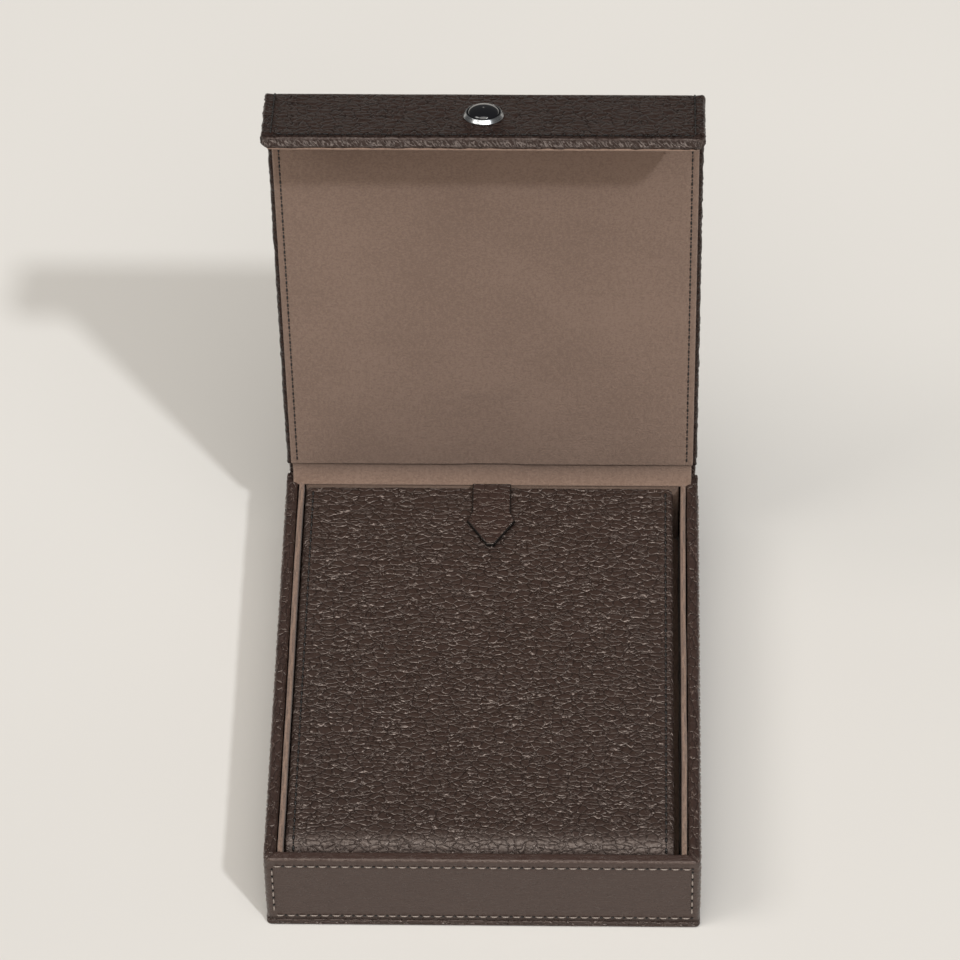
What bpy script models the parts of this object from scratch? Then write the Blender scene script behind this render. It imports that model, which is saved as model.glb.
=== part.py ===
"""Leather pen case, lid open: a board case with a hinged lid and flap, and a folio of pen beds inside.

The model is in metres with +Z up. Its origin is the middle of the face that the case stands on,
+X runs to the right of the person who opens it and +Y runs from the flap side to the hinge side.
"""

import math

import bmesh
import bpy
from mathutils import Matrix, Vector

# Case
CASE_WIDTH = 0.170
CASE_DEPTH = 0.209
CASE_HEIGHT = 0.040
CASE_CORNER = 0.002
BASE_THICK = 0.003
BASE_INSET = 0.0003
BASE_ROUND = 0.0010
FLOOR_BOARD = 0.0020
FLOOR_LINER = 0.0012
BACK_DROP = 0.0015
BACK_WRAP = 0.0080

# Sheets that the whole case is made of
GAP = 0.0003
LEATHER = 0.0011
WALL_BOARD = 0.0020
EDGE_ROUND = 0.0018
LINING = 0.0008
LINING_RECESS = 0.0003
HEM = 0.0024

# Suede-covered liners inside the walls
SIDE_LINER = 0.0024
FRONT_LINER = 0.0012
LINER_DROP = 0.0008
FRONT_LINER_DROP = 0.0080
LINER_ROUND = 0.0005

# Lid and its hinge
LID_SIDE_INSET = 0.0006
LID_BOARD = 0.0032
LID_BACK = 0.0030
OPEN_ANGLE = math.radians(88.0)
HINGE_SAG = 0.0022

# Flap
FLAP_BOARD = 0.0026
FLAP_DROP = 0.0311
FLAP_REST = math.radians(16.0)
FLAP_CLEARANCE = 0.0006
FLAP_CORNER = 0.0040
FOLD_RADIUS = 0.0040
FOLD_BORE = 0.0004

# Hidden magnets that hold the flap
MAGNET_RADIUS = 0.0050
MAGNET_THICK = 0.0012
MAGNET_OFFSET = 0.0450
MAGNET_DROP = 0.0180

# Stud on the flap
STUD_RADIUS = 0.0078
STUD_HEIGHT = 0.0019
STUD_RIM = 0.0009
STUD_LIP = 0.0005
STUD_SEAT = 0.0005
DOME_RISE = 0.0026
STUD_DROP = 0.0197
SHANK_RADIUS = 0.0015
WASHER_RADIUS = 0.0045
WASHER_THICK = 0.0006

# Folio that lies in the case
FOLIO_LEFT_CLEARANCE = 0.0006
FOLIO_RIGHT_CLEARANCE = 0.0028
FOLIO_TOP_DROP = 0.0020
FOLIO_FRONT_CLEARANCE = 0.0012
FOLIO_BACK_CLEARANCE = 0.0009
FOLIO_BASE = 0.0018
COVER_BOARD = 0.0016
COVER_CORNER = 0.0030
ROLL_RADIUS = 0.0070
COVER_OPEN = math.radians(100.0)

# Pen beds in the folio
BEDS = 6
BED_FLOOR = 0.0060
RAIL = 0.0030
RAIL_INSET = 0.0008
DIVIDER = 0.0030
RAIL_ROUND = 0.0005

# Pull tab on the folio's cover
TAB_THICK = 0.0020
TAB_WIDTH = 0.0159
TAB_FLARE_WIDTH = 0.0198
TAB_TIP_WIDTH = 0.0030
TAB_SEWN = 0.0030
TAB_BEND = 0.0024
TAB_STRAIGHT = 0.0162
TAB_FLARE = 0.0210
TAB_LENGTH = 0.0340
TAB_ROUND = 0.0004

# Roundness of curves, as counts of flat steps
CORNER_STEPS = 6
EDGE_STEPS = 4
ROLL_STEPS = 10
TURN_STEPS = 48

# One overrun for every cut
OVERRUN = 0.0010

# Places that follow from the sizes above
FRONT = -CASE_DEPTH / 2
BACK = CASE_DEPTH / 2
WALL = 2 * LEATHER + 2 * GAP + WALL_BOARD
WALL_FOOT = BASE_THICK + GAP
LINER_OFFSET = WALL + GAP
CAVITY_HALF = CASE_WIDTH / 2 - LINER_OFFSET - SIDE_LINER
CAVITY_FRONT = FRONT + LINER_OFFSET + FRONT_LINER
CAVITY_BACK = BACK - LINER_OFFSET - SIDE_LINER
FLOOR_TOP = WALL_FOOT + FLOOR_BOARD
LINER_FOOT = FLOOR_TOP + GAP
CAVITY_FLOOR = LINER_FOOT + FLOOR_LINER
LINER_TOP = CASE_HEIGHT - LINER_DROP
BACK_TOP = CASE_HEIGHT - BACK_DROP

LID_THICK = 2 * LEATHER + 2 * GAP + LID_BOARD
LID_WIDTH = CASE_WIDTH - 2 * LID_SIDE_INSET
LID_TOP = CASE_HEIGHT + GAP + LID_THICK
HINGE_Y = BACK - LEATHER / 2
HINGE_Z = LID_TOP - LEATHER / 2

FLAP_THICK = 2 * LEATHER + 2 * GAP + FLAP_BOARD
FLAP_FACE = FRONT - FLAP_CLEARANCE - FLAP_THICK
FOLD_Y = FLAP_FACE + FOLD_RADIUS
FOLD_Z = LID_TOP - FOLD_RADIUS
FLAP_LENGTH = FOLD_Z - CASE_HEIGHT + FLAP_DROP
LID_LENGTH = HINGE_Y - LID_BACK - FOLD_Y

FOLIO_WIDTH = 2 * CAVITY_HALF - FOLIO_LEFT_CLEARANCE - FOLIO_RIGHT_CLEARANCE
FOLIO_SHIFT = (FOLIO_LEFT_CLEARANCE - FOLIO_RIGHT_CLEARANCE) / 2
FOLIO_TOP = CASE_HEIGHT - FOLIO_TOP_DROP
FOLIO_FRONT = CAVITY_FRONT + FOLIO_FRONT_CLEARANCE
FOLIO_BACK = CAVITY_BACK - FOLIO_BACK_CLEARANCE
FOLIO_FOOT = CAVITY_FLOOR + GAP
COVER_THICK = 2 * LEATHER + 2 * GAP + COVER_BOARD
ROLL_Y = FOLIO_FRONT + ROLL_RADIUS
ROLL_Z = FOLIO_TOP - ROLL_RADIUS
COVER_LENGTH = FOLIO_BACK - ROLL_Y

BED_FOOT = FOLIO_FOOT + FOLIO_BASE + GAP
BED_TOP = BED_FOOT + BED_FLOOR
RAIL_TOP = FOLIO_TOP - COVER_THICK - GAP
DIVIDER_TOP = ROLL_Z - ROLL_RADIUS * math.sin(COVER_OPEN - math.pi / 2) - GAP
RAIL_HALF = FOLIO_WIDTH / 2 - RAIL_INSET
BED_FRONT = ROLL_Y + GAP
BED_BACK = FOLIO_BACK - RAIL

TAB_PIVOT_Y = FOLIO_BACK - TAB_SEWN - TAB_BEND
TAB_PIVOT_Z = FOLIO_TOP + GAP + TAB_THICK / 2


# Materials

def make_material(name, colour, roughness, metallic=0.0):
    """Return a Principled material with the given base colour, roughness and metallic value."""
    material = bpy.data.materials.new(name)
    material.use_nodes = True
    shader = material.node_tree.nodes["Principled BSDF"]
    shader.inputs["Base Color"].default_value = (*colour, 1.0)
    shader.inputs["Roughness"].default_value = roughness
    shader.inputs["Metallic"].default_value = metallic
    return material


def make_materials():
    """Return every material of the case by its plain name."""
    return {
        "leather": make_material("dark_leather", (0.048, 0.032, 0.028), 0.42),
        "suede": make_material("taupe_suede", (0.24, 0.18, 0.145), 0.95),
        "board": make_material("grey_board", (0.20, 0.18, 0.16), 0.85),
        "chrome": make_material("polished_chrome", (0.80, 0.80, 0.80), 0.12, 1.0),
        "enamel": make_material("black_enamel", (0.010, 0.010, 0.012), 0.12),
        "steel": make_material("dull_steel", (0.42, 0.42, 0.43), 0.40, 1.0),
    }


# Objects

def clear_scene():
    """Remove every object of the open file."""
    for item in list(bpy.data.objects):
        bpy.data.objects.remove(item, do_unlink=True)


def pivot(name, location, turn=0.0, parent=None):
    """Return an empty on a joint's axis, turned about X."""
    empty = bpy.data.objects.new(name, None)
    empty.rotation_euler = (turn, 0.0, 0.0)
    empty.location = location
    empty.parent = parent
    bpy.context.collection.objects.link(empty)
    return empty


def finish(name, shape, material, placement=None, parent=None, smooth=False):
    """Turn a bmesh into a named object, with outward faces and its material."""
    bmesh.ops.remove_doubles(shape, verts=shape.verts, dist=GAP / 100)
    bmesh.ops.recalc_face_normals(shape, faces=shape.faces)
    mesh = bpy.data.meshes.new(name)
    shape.to_mesh(mesh)
    shape.free()
    mesh.materials.append(material)
    if smooth:
        mesh.shade_smooth()
        mesh.set_sharp_from_angle(angle=math.radians(40))
    item = bpy.data.objects.new(name, mesh)
    bpy.context.collection.objects.link(item)
    item.parent = parent
    if placement is not None:
        item.matrix_basis = placement
    return item


def round_edges(item, width, steps=2):
    """Give an object rounded edges of one radius."""
    bevel = item.modifiers.new("rounded edges", "BEVEL")
    bevel.width = width
    bevel.segments = steps
    bevel.limit_method = "ANGLE"
    bevel.angle_limit = math.radians(50)
    return item


def cut(item, cutter):
    """Subtract a cutter from an object and hide the cutter."""
    cutter.hide_render = True
    cutter.display_type = "WIRE"
    difference = item.modifiers.new("cut by " + cutter.name, "BOOLEAN")
    difference.operation = "DIFFERENCE"
    difference.solver = "EXACT"
    difference.object = cutter
    return item


# Shapes

def block(name, low, high, material, parent=None, rounding=0.0):
    """Return a box between two corners, with rounded edges if a radius is given."""
    low, high = Vector(low), Vector(high)
    shape = bmesh.new()
    bmesh.ops.create_cube(shape, size=1.0)
    middle = Matrix.Translation((low + high) / 2)
    bmesh.ops.transform(shape, matrix=middle @ Matrix.Diagonal((*(high - low), 1.0)), verts=shape.verts)
    item = finish(name, shape, material, parent=parent)
    return round_edges(item, rounding) if rounding else item


def prism(name, outline, low_x, high_x, material, parent=None, smooth=False, placement=None):
    """Return an outline of (y, z) points carried along X."""
    shape = bmesh.new()
    left = [shape.verts.new((low_x, y, z)) for y, z in outline]
    right = [shape.verts.new((high_x, y, z)) for y, z in outline]
    shape.faces.new(left)
    shape.faces.new(right[::-1])
    for index in range(len(outline)):
        after = (index + 1) % len(outline)
        shape.faces.new((left[index], left[after], right[after], right[index]))
    return finish(name, shape, material, placement, parent, smooth)


def disc(name, radius, low_z, high_z, material, placement, parent=None):
    """Return a round plate about its own Z axis."""
    shape = bmesh.new()
    bmesh.ops.create_cone(
        shape, cap_ends=True, segments=TURN_STEPS, radius1=radius, radius2=radius, depth=high_z - low_z
    )
    bmesh.ops.translate(shape, vec=(0.0, 0.0, (low_z + high_z) / 2), verts=shape.verts)
    return finish(name, shape, material, placement, parent, smooth=True)


def turned(name, profile, material, placement, parent=None):
    """Return a (radius, z) profile turned about Z, closed where it starts and ends on the axis."""
    shape = bmesh.new()
    rings = []
    for radius, z in profile:
        angles = [2 * math.pi * step / TURN_STEPS for step in range(TURN_STEPS)]
        rings.append([shape.verts.new((radius * math.cos(a), radius * math.sin(a), z)) for a in angles])
    for index in range(len(rings)):
        here, there = rings[index], rings[(index + 1) % len(rings)]
        for step in range(TURN_STEPS):
            after = (step + 1) % TURN_STEPS
            shape.faces.new((here[step], here[after], there[after], there[step]))
    bmesh.ops.dissolve_degenerate(shape, dist=GAP / 100, edges=shape.edges)
    return finish(name, shape, material, placement, parent, smooth=True)


def arc(centre, radius, start, end, steps):
    """Return points on a circle from one angle to another."""
    angles = [start + (end - start) * step / steps for step in range(steps + 1)]
    return [(centre[0] + radius * math.cos(a), centre[1] + radius * math.sin(a)) for a in angles]


def u_path(width, length, corner, inset):
    """Return a U in plan, inset from its outer line: it opens at y = 0 and closes at y = length.

    Past its own radius a corner is inset to a sharp point, so all its points meet there.
    """
    points = [(inset - width / 2, 0.0)]
    for side, start in ((-1, math.pi), (1, math.pi / 2)):
        centre = (side * (width / 2 - corner), length - corner)
        if inset < corner:
            points += arc(centre, corner - inset, start, start - math.pi / 2, CORNER_STEPS)
        else:
            points += [(side * (width / 2 - inset), length - inset)] * (CORNER_STEPS + 1)
    return points + [(width / 2 - inset, 0.0)]


def rounded_box_edge(depth, inset_at_end, radius):
    """Return (inset, z) points round the two edges of a sheet's side, from its outer to its inner face."""
    radius = min(radius, depth / 2)
    first = arc((radius, radius), radius, -math.pi / 2, -math.pi, EDGE_STEPS)
    second = arc((radius, depth - radius), radius, math.pi, math.pi / 2, EDGE_STEPS)
    return first, second + [(inset_at_end, depth)]


def swept_wall(name, width, length, corner, profile, material, placement, smooth=False):
    """Return a closed (inset, z) profile carried along a U, with both its ends capped."""
    shape = bmesh.new()
    columns = []
    for inset, z in profile:
        columns.append([shape.verts.new((x, y, z)) for x, y in u_path(width, length, corner, inset)])
    for index in range(len(columns)):
        here, there = columns[index], columns[(index + 1) % len(columns)]
        for step in range(len(here) - 1):
            shape.faces.new((here[step], here[step + 1], there[step + 1], there[step]))
    shape.faces.new([column[0] for column in columns])
    shape.faces.new([column[-1] for column in columns][::-1])
    return finish(name, shape, material, placement, smooth=smooth)


def turned_wall_profile(foot, top):
    """Return the section of a wall's leather: up outside, over the board's top and down inside."""
    radius = min(EDGE_ROUND, WALL / 2)
    outside = arc((radius, top - radius), radius, math.pi, math.pi / 2, EDGE_STEPS)
    inside = arc((WALL - radius, top - radius), radius, math.pi / 2, 0.0, EDGE_STEPS)
    slot = [(LEATHER, top - LEATHER), (LEATHER, foot)]
    mirrored = [(WALL - inset, z) for inset, z in slot[::-1]]
    return [(0.0, foot)] + outside + inside + [(WALL, foot)] + mirrored + slot


class TurnedPanel:
    """A board in a leather skin whose edges are turned under, with a lining let in between the hems.

    Its own axes run x across, y from its open end to its closed end and z from the outer face inwards.
    A mitred panel is cut back at its open end, below a fold's axis, by as much as it lies below it.
    """

    def __init__(self, width, length, board, corner, fold_depth, start):
        self.width = width
        self.length = length
        self.board = board
        self.corner = corner
        self.fold_depth = fold_depth
        self.start = start
        self.thick = 2 * LEATHER + 2 * GAP + board

    def end(self, depth):
        """Return where the open end lies at one depth below the outer face."""
        return self.start + max(0.0, depth - self.fold_depth)

    def path(self, inset, depth):
        """Return the panel's U, inset, with its open ends at their place for a depth."""
        points = u_path(self.width, self.length, self.corner, inset)
        first, last = points[0], points[-1]
        points[0] = (first[0], self.end(depth))
        points[-1] = (last[0], self.end(depth))
        return points

    def skin_profile(self):
        """Return the skin's (inset, depth) points, and the places of the two at the fold's depth."""
        first, second = rounded_box_edge(self.thick, HEM, EDGE_ROUND)
        fold = min(max(self.fold_depth, first[-1][1]), second[0][1])
        hem = self.thick - LEATHER
        inner = [(HEM, hem), (LEATHER, hem), (LEATHER, min(fold, hem)), (LEATHER, LEATHER)]
        profile = first + [(0.0, fold)] + second + inner
        return profile, len(first), len(profile) - 2

    def skin(self, name, material, placement, parent):
        """Return the leather skin, closed on three sides."""
        profile, outside, pocket = self.skin_profile()
        shape = bmesh.new()
        columns = []
        for inset, depth in profile:
            columns.append([shape.verts.new((x, y, depth)) for x, y in self.path(inset, depth)])
        for here, there in zip(columns, columns[1:]):
            for step in range(len(here) - 1):
                shape.faces.new((here[step], here[step + 1], there[step + 1], there[step]))
        shape.faces.new(columns[0][::-1])
        shape.faces.new(columns[-1])
        left = [column[0] for column in columns]
        right = [column[-1] for column in columns]
        shape.faces.new(left[outside : pocket + 1])
        shape.faces.new(right[outside : pocket + 1][::-1])
        left_rim = left[: outside + 1] + left[pocket:]
        right_rim = right[: outside + 1] + right[pocket:]
        shape.faces.new(left_rim + right_rim[::-1])
        return finish(name, shape, material, placement, parent, smooth=True)

    def channel(self, name, material, placement, parent):
        """Return the leather skin of a panel that is open at both ends, as a channel."""
        profile, outside, pocket = self.skin_profile()
        shape = bmesh.new()
        rows = []
        for side in (-1, 1):
            near = [shape.verts.new((side * (self.width / 2 - i), self.end(z), z)) for i, z in profile]
            far = [shape.verts.new((side * (self.width / 2 - i), self.length, z)) for i, z in profile]
            for index in range(len(profile) - 1):
                shape.faces.new((near[index], near[index + 1], far[index + 1], far[index]))
            shape.faces.new(near[outside : pocket + 1])
            rows.append((near, far))
        (near_l, far_l), (near_r, far_r) = rows
        shape.faces.new((near_l[0], near_r[0], far_r[0], far_l[0]))
        shape.faces.new((near_l[-1], near_r[-1], far_r[-1], far_l[-1]))
        shape.faces.new(far_l + far_r[::-1])
        upper_l = near_l[: outside + 1] + near_l[pocket:]
        upper_r = near_r[: outside + 1] + near_r[pocket:]
        shape.faces.new(upper_l + upper_r[::-1])
        return finish(name, shape, material, placement, parent, smooth=True)

    def plate(self, name, inset, low, high, square_end, material, placement, parent, back=GAP):
        """Return a flat plate of the panel's own outline, inset, between two depths."""
        front = self.end(high) + (back if self.fold_depth < high else 0.0)
        if square_end:
            outline = [(inset - self.width / 2, front), (inset - self.width / 2, self.length)]
            outline += [(self.width / 2 - inset, self.length), (self.width / 2 - inset, front)]
        else:
            outline = u_path(self.width, self.length, self.corner, inset)
            outline[0] = (outline[0][0], front)
            outline[-1] = (outline[-1][0], front)
        shape = bmesh.new()
        lower = [shape.verts.new((x, y, low)) for x, y in outline]
        upper = [shape.verts.new((x, y, high)) for x, y in outline]
        shape.faces.new(lower)
        shape.faces.new(upper[::-1])
        for index in range(len(outline)):
            after = (index + 1) % len(outline)
            shape.faces.new((lower[index], lower[after], upper[after], upper[index]))
        return finish(name, shape, material, placement, parent)

    def core(self, name, material, placement, parent, square_end=False):
        """Return the board inside the skin."""
        low = LEATHER + GAP
        return self.plate(name, low, low, low + self.board, square_end, material, placement, parent)

    def lining(self, name, material, placement, parent, square_end=False):
        """Return the suede lining, let in between the hems and cut back at a mitre for the bend's own."""
        high, low = self.thick - LINING_RECESS, self.thick - LINING_RECESS - LINING
        return self.plate(name, HEM + GAP, low, high, square_end, material, placement, parent, LINING)


# Case

def build_case(paint):
    """Build the base, the boards, their leather and the liners."""
    build_base(paint)
    build_wall_leather(paint)
    build_wall_boards(paint)
    build_liners(paint)
    build_case_magnets(paint)


def build_base(paint):
    """Build the base panel that the case stands on, and the board on it."""
    width, depth = CASE_WIDTH - 2 * BASE_INSET, CASE_DEPTH - 2 * BASE_INSET
    outline = []
    for centre_x, centre_y, start in ((1, 1, 0.0), (-1, 1, 0.5), (-1, -1, 1.0), (1, -1, 1.5)):
        centre = (centre_x * (width / 2 - CASE_CORNER), centre_y * (depth / 2 - CASE_CORNER))
        outline += arc(centre, CASE_CORNER, start * math.pi, (start + 0.5) * math.pi, CORNER_STEPS)
    shape = bmesh.new()
    lower = [shape.verts.new((x, y, 0.0)) for x, y in outline]
    face = shape.faces.new(lower)
    raised = bmesh.ops.extrude_face_region(shape, geom=[face])["geom"]
    top = [element for element in raised if isinstance(element, bmesh.types.BMVert)]
    bmesh.ops.translate(shape, vec=(0.0, 0.0, BASE_THICK), verts=top)
    base = finish("base_panel", shape, paint["leather"])
    round_edges(base, min(BASE_ROUND, BASE_THICK / 3))
    half = CASE_WIDTH / 2 - LINER_OFFSET
    block(
        "floor_board",
        (-half, FRONT + LINER_OFFSET, WALL_FOOT),
        (half, BACK - LINER_OFFSET, FLOOR_TOP),
        paint["board"],
    )


def build_wall_leather(paint):
    """Build the leather over the front and side walls, and the lower piece round the back."""
    side_length = CASE_DEPTH - BACK_WRAP - GAP
    turned_round = Matrix.Translation((0.0, FRONT + side_length, 0.0)) @ Matrix.Rotation(math.pi, 4, "Z")
    swept_wall(
        "case_leather",
        CASE_WIDTH,
        side_length,
        CASE_CORNER,
        turned_wall_profile(WALL_FOOT, CASE_HEIGHT),
        paint["leather"],
        turned_round,
        smooth=True,
    )
    swept_wall(
        "back_leather",
        CASE_WIDTH,
        BACK_WRAP,
        CASE_CORNER,
        turned_wall_profile(WALL_FOOT, BACK_TOP),
        paint["leather"],
        Matrix.Translation((0.0, BACK - BACK_WRAP, 0.0)),
        smooth=True,
    )


def build_wall_boards(paint):
    """Build the boards in the walls; the side boards step down under the hinge."""
    outer, inner = LEATHER + GAP, LEATHER + GAP + WALL_BOARD
    top, low_top = CASE_HEIGHT - LEATHER - GAP, BACK_TOP - LEATHER - GAP
    for name, place, height in (("front_board", -1, top), ("back_board", 1, low_top)):
        path = u_path(CASE_WIDTH, CASE_DEPTH / 2, CASE_CORNER, outer)[1:-1]
        corners = [(side * (CASE_WIDTH / 2 - outer), CASE_DEPTH / 2 - inner) for side in (1, -1)]
        shape = bmesh.new()
        face = shape.faces.new([shape.verts.new((x, y * place, WALL_FOOT)) for x, y in path + corners])
        raised = bmesh.ops.extrude_face_region(shape, geom=[face])["geom"]
        moved = [element for element in raised if isinstance(element, bmesh.types.BMVert)]
        bmesh.ops.translate(shape, vec=(0.0, 0.0, height - WALL_FOOT), verts=moved)
        finish(name, shape, paint["board"])
    step, end = BACK - BACK_WRAP - GAP, BACK - inner - GAP
    outline = [(FRONT + inner + GAP, WALL_FOOT), (end, WALL_FOOT), (end, low_top)]
    outline += [(step, low_top), (step, top), (FRONT + inner + GAP, top)]
    half = CASE_WIDTH / 2
    prism("left_board", outline, outer - half, inner - half, paint["board"])
    prism("right_board", outline, half - inner, half - outer, paint["board"])


def build_liners(paint):
    """Build the suede liners: floor, sides, front and back."""
    half = CASE_WIDTH / 2 - LINER_OFFSET
    front, back = FRONT + LINER_OFFSET, BACK - LINER_OFFSET
    suede = paint["suede"]
    for name, side in (("liner_left", -1), ("liner_right", 1)):
        low_x, high_x = sorted((side * half, side * (half - SIDE_LINER)))
        block(name, (low_x, front, LINER_FOOT), (high_x, back, LINER_TOP), suede, rounding=LINER_ROUND)
    reach = CAVITY_HALF - GAP
    front_top, back_top = CASE_HEIGHT - FRONT_LINER_DROP, BACK_TOP - LINER_DROP
    for name, low_y, high_y, top in (
        ("liner_front", front, CAVITY_FRONT, front_top),
        ("liner_back", CAVITY_BACK, back, back_top),
    ):
        block(name, (-reach, low_y, LINER_FOOT), (reach, high_y, top), suede, rounding=LINER_ROUND)
    block(
        "liner_floor",
        (-reach, CAVITY_FRONT + GAP, LINER_FOOT),
        (reach, CAVITY_BACK - GAP, CAVITY_FLOOR),
        suede,
    )


def magnet_height():
    """Return how high the magnets lie when the flap is closed."""
    return CASE_HEIGHT - MAGNET_DROP


def build_case_magnets(paint):
    """Build the two magnets let into the front board from inside."""
    board = bpy.data.objects["front_board"]
    face = FRONT + LEATHER + GAP + WALL_BOARD
    for name, side in (("left", -1), ("right", 1)):
        seat = Matrix.Translation((side * MAGNET_OFFSET, face, magnet_height()))
        seat = seat @ Matrix.Rotation(math.pi / 2, 4, "X")
        deep = MAGNET_THICK + GAP
        pocket = disc("case_pocket_" + name, MAGNET_RADIUS + GAP, -OVERRUN, deep, paint["board"], seat)
        cut(board, pocket)
        disc("case_magnet_" + name, MAGNET_RADIUS, 0.0, MAGNET_THICK, paint["steel"], seat)


# Lid

def build_lid(paint):
    """Build the lid as it lies closed, then open it about its hinge, and build the hinge's own sheets."""
    hinge = pivot("lid_pivot", (0.0, HINGE_Y, HINGE_Z), -OPEN_ANGLE)
    panel = TurnedPanel(LID_WIDTH, LID_LENGTH, LID_BOARD, 0.0, FOLD_RADIUS, GAP / 2)
    place = Matrix.Translation((0.0, FOLD_Y - HINGE_Y, LID_TOP - HINGE_Z))
    place = place @ Matrix.Rotation(math.pi, 4, "Y")
    panel.channel("lid_leather", paint["leather"], place, hinge)
    panel.core("lid_board", paint["board"], place, hinge, square_end=True)
    panel.lining("lid_lining", paint["suede"], place, hinge, square_end=True)
    build_hinge(paint)
    build_fold(paint, hinge)
    build_flap(paint, hinge)


def opened(y, z):
    """Return where a point of the closed lid lies with the lid open."""
    across, up = y - HINGE_Y, z - HINGE_Z
    cosine, sine = math.cos(OPEN_ANGLE), math.sin(OPEN_ANGLE)
    return HINGE_Y + across * cosine + up * sine, HINGE_Z - across * sine + up * cosine


def rested(y, z):
    """Return where a point of the straight flap lies at rest, bent out; both are seen from the hinge."""
    across, up = y - (FOLD_Y - HINGE_Y), z - (FOLD_Z - HINGE_Z)
    cosine, sine = math.cos(FLAP_REST), math.sin(FLAP_REST)
    turned_y, turned_z = across * cosine + up * sine, up * cosine - across * sine
    return FOLD_Y - HINGE_Y + turned_y, FOLD_Z - HINGE_Z + turned_z


def ribbon(line, thickness):
    """Return the outline of a sheet along a line of (y, z) points, half its thickness to each side."""
    sides = ([], [])
    for index, point in enumerate(line):
        before, after = line[max(index - 1, 0)], line[min(index + 1, len(line) - 1)]
        along = Vector((after[0] - before[0], after[1] - before[1])).normalized()
        for side, reach in zip(sides, (thickness / 2, -thickness / 2)):
            side.append((point[0] - along.y * reach, point[1] + along.x * reach))
    return sides[0] + sides[1][::-1]


def bent_line(start, middle, end):
    """Return points on a smooth curve from start to end that is drawn towards the middle point."""
    points = []
    for step in range(ROLL_STEPS + 1):
        t = step / ROLL_STEPS
        weights = ((1 - t) ** 2, 2 * t * (1 - t), t * t)
        y = sum(w * p[0] for w, p in zip(weights, (start, middle, end)))
        z = sum(w * p[1] for w, p in zip(weights, (start, middle, end)))
        points.append((y, z))
    return points


def build_hinge(paint):
    """Build the leather and the suede that bend between the back wall and the lid."""
    half = LID_WIDTH / 2 - EDGE_ROUND
    lid_end = HINGE_Y - LID_BACK + GAP
    outside = bent_line((HINGE_Y, BACK_TOP + GAP), (HINGE_Y, HINGE_Z), opened(lid_end, HINGE_Z))
    prism("hinge_leather", ribbon(outside, LEATHER), -half, half, paint["leather"], smooth=True)
    lining_z = CASE_HEIGHT + GAP + LINING_RECESS + LINING / 2
    start = (CAVITY_BACK + LINING, CASE_HEIGHT + GAP + LINING)
    end = opened(lid_end, lining_z)
    sag = ((start[0] + end[0]) / 2 + HINGE_SAG, (start[1] + end[1]) / 2)
    sheet = ribbon(bent_line(start, sag, end), LINING)
    half = LID_WIDTH / 2 - HEM - GAP
    prism("hinge_lining", sheet, -half, half, paint["suede"], smooth=True)


def build_fold(paint, hinge):
    """Build the leather and the suede that bend between the lid and the flap."""
    half = LID_WIDTH / 2
    outer, inner = FOLD_RADIUS, FOLD_RADIUS - LEATHER
    radius = min(EDGE_ROUND, outer / 2)
    edge = arc((half - radius, outer - radius), radius, 0.0, math.pi / 2, EDGE_STEPS)
    right = [(half, FOLD_BORE)] + edge
    pocket = [(half - LEATHER, FOLD_BORE), (half - LEATHER, inner)]
    mirrored = [(-x, r) for x, r in right[::-1]]
    section = right + mirrored + [(-x, r) for x, r in pocket] + pocket[::-1]
    trim = GAP / outer
    first, swing = math.pi / 2 + trim, math.pi / 2 - FLAP_REST - 2 * trim
    turns = [first + swing * step / ROLL_STEPS for step in range(ROLL_STEPS + 1)]
    shape = bmesh.new()
    rows = []
    for turn in turns:
        rows.append([shape.verts.new((x, r * math.cos(turn), r * math.sin(turn))) for x, r in section])
    for here, there in zip(rows, rows[1:]):
        for index in range(len(section)):
            after = (index + 1) % len(section)
            shape.faces.new((here[index], here[after], there[after], there[index]))
    shape.faces.new(rows[0])
    shape.faces.new(rows[-1][::-1])
    place = Matrix.Translation((0.0, FOLD_Y - HINGE_Y, FOLD_Z - HINGE_Z))
    finish("fold_leather", shape, paint["leather"], place, hinge, smooth=True)
    corner_y = FRONT - FLAP_CLEARANCE - LINING_RECESS - LINING / 2 - HINGE_Y
    corner_z = CASE_HEIGHT + GAP + LINING_RECESS + LINING / 2 - HINGE_Z
    reach = LINING - GAP / 2
    lid_end = FOLD_Y + LID_THICK - LINING_RECESS - FOLD_RADIUS + reach - HINGE_Y
    flap_end = FOLD_Z - FLAP_THICK + LINING_RECESS + FOLD_RADIUS - reach - HINGE_Z
    end_y, end_z = rested(corner_y, flap_end)
    bend_y = end_y + (corner_z - end_z) * math.tan(FLAP_REST)
    line = bent_line((lid_end, corner_z), (bend_y, corner_z), (end_y, end_z))
    half = LID_WIDTH / 2 - HEM - GAP
    prism("fold_lining", ribbon(line, LINING), -half, half, paint["suede"], hinge, smooth=True)


# Flap

def build_flap(paint, hinge):
    """Build the flap, its magnets and its stud, on the fold's axis, bent out as it rests."""
    fold = pivot("flap_pivot", (0.0, FOLD_Y - HINGE_Y, FOLD_Z - HINGE_Z), -FLAP_REST, hinge)
    panel = TurnedPanel(LID_WIDTH, FLAP_LENGTH, FLAP_BOARD, FLAP_CORNER, FOLD_RADIUS, GAP / 2)
    place = Matrix.Translation((0.0, FLAP_FACE - FOLD_Y, 0.0)) @ Matrix.Rotation(-math.pi / 2, 4, "X")
    skin = panel.skin("flap_leather", paint["leather"], place, fold)
    board = panel.core("flap_board", paint["board"], place, fold)
    panel.lining("flap_lining", paint["suede"], place, fold)
    build_flap_magnets(paint, board, place, fold)
    build_stud(paint, skin, board, place, fold)


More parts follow.
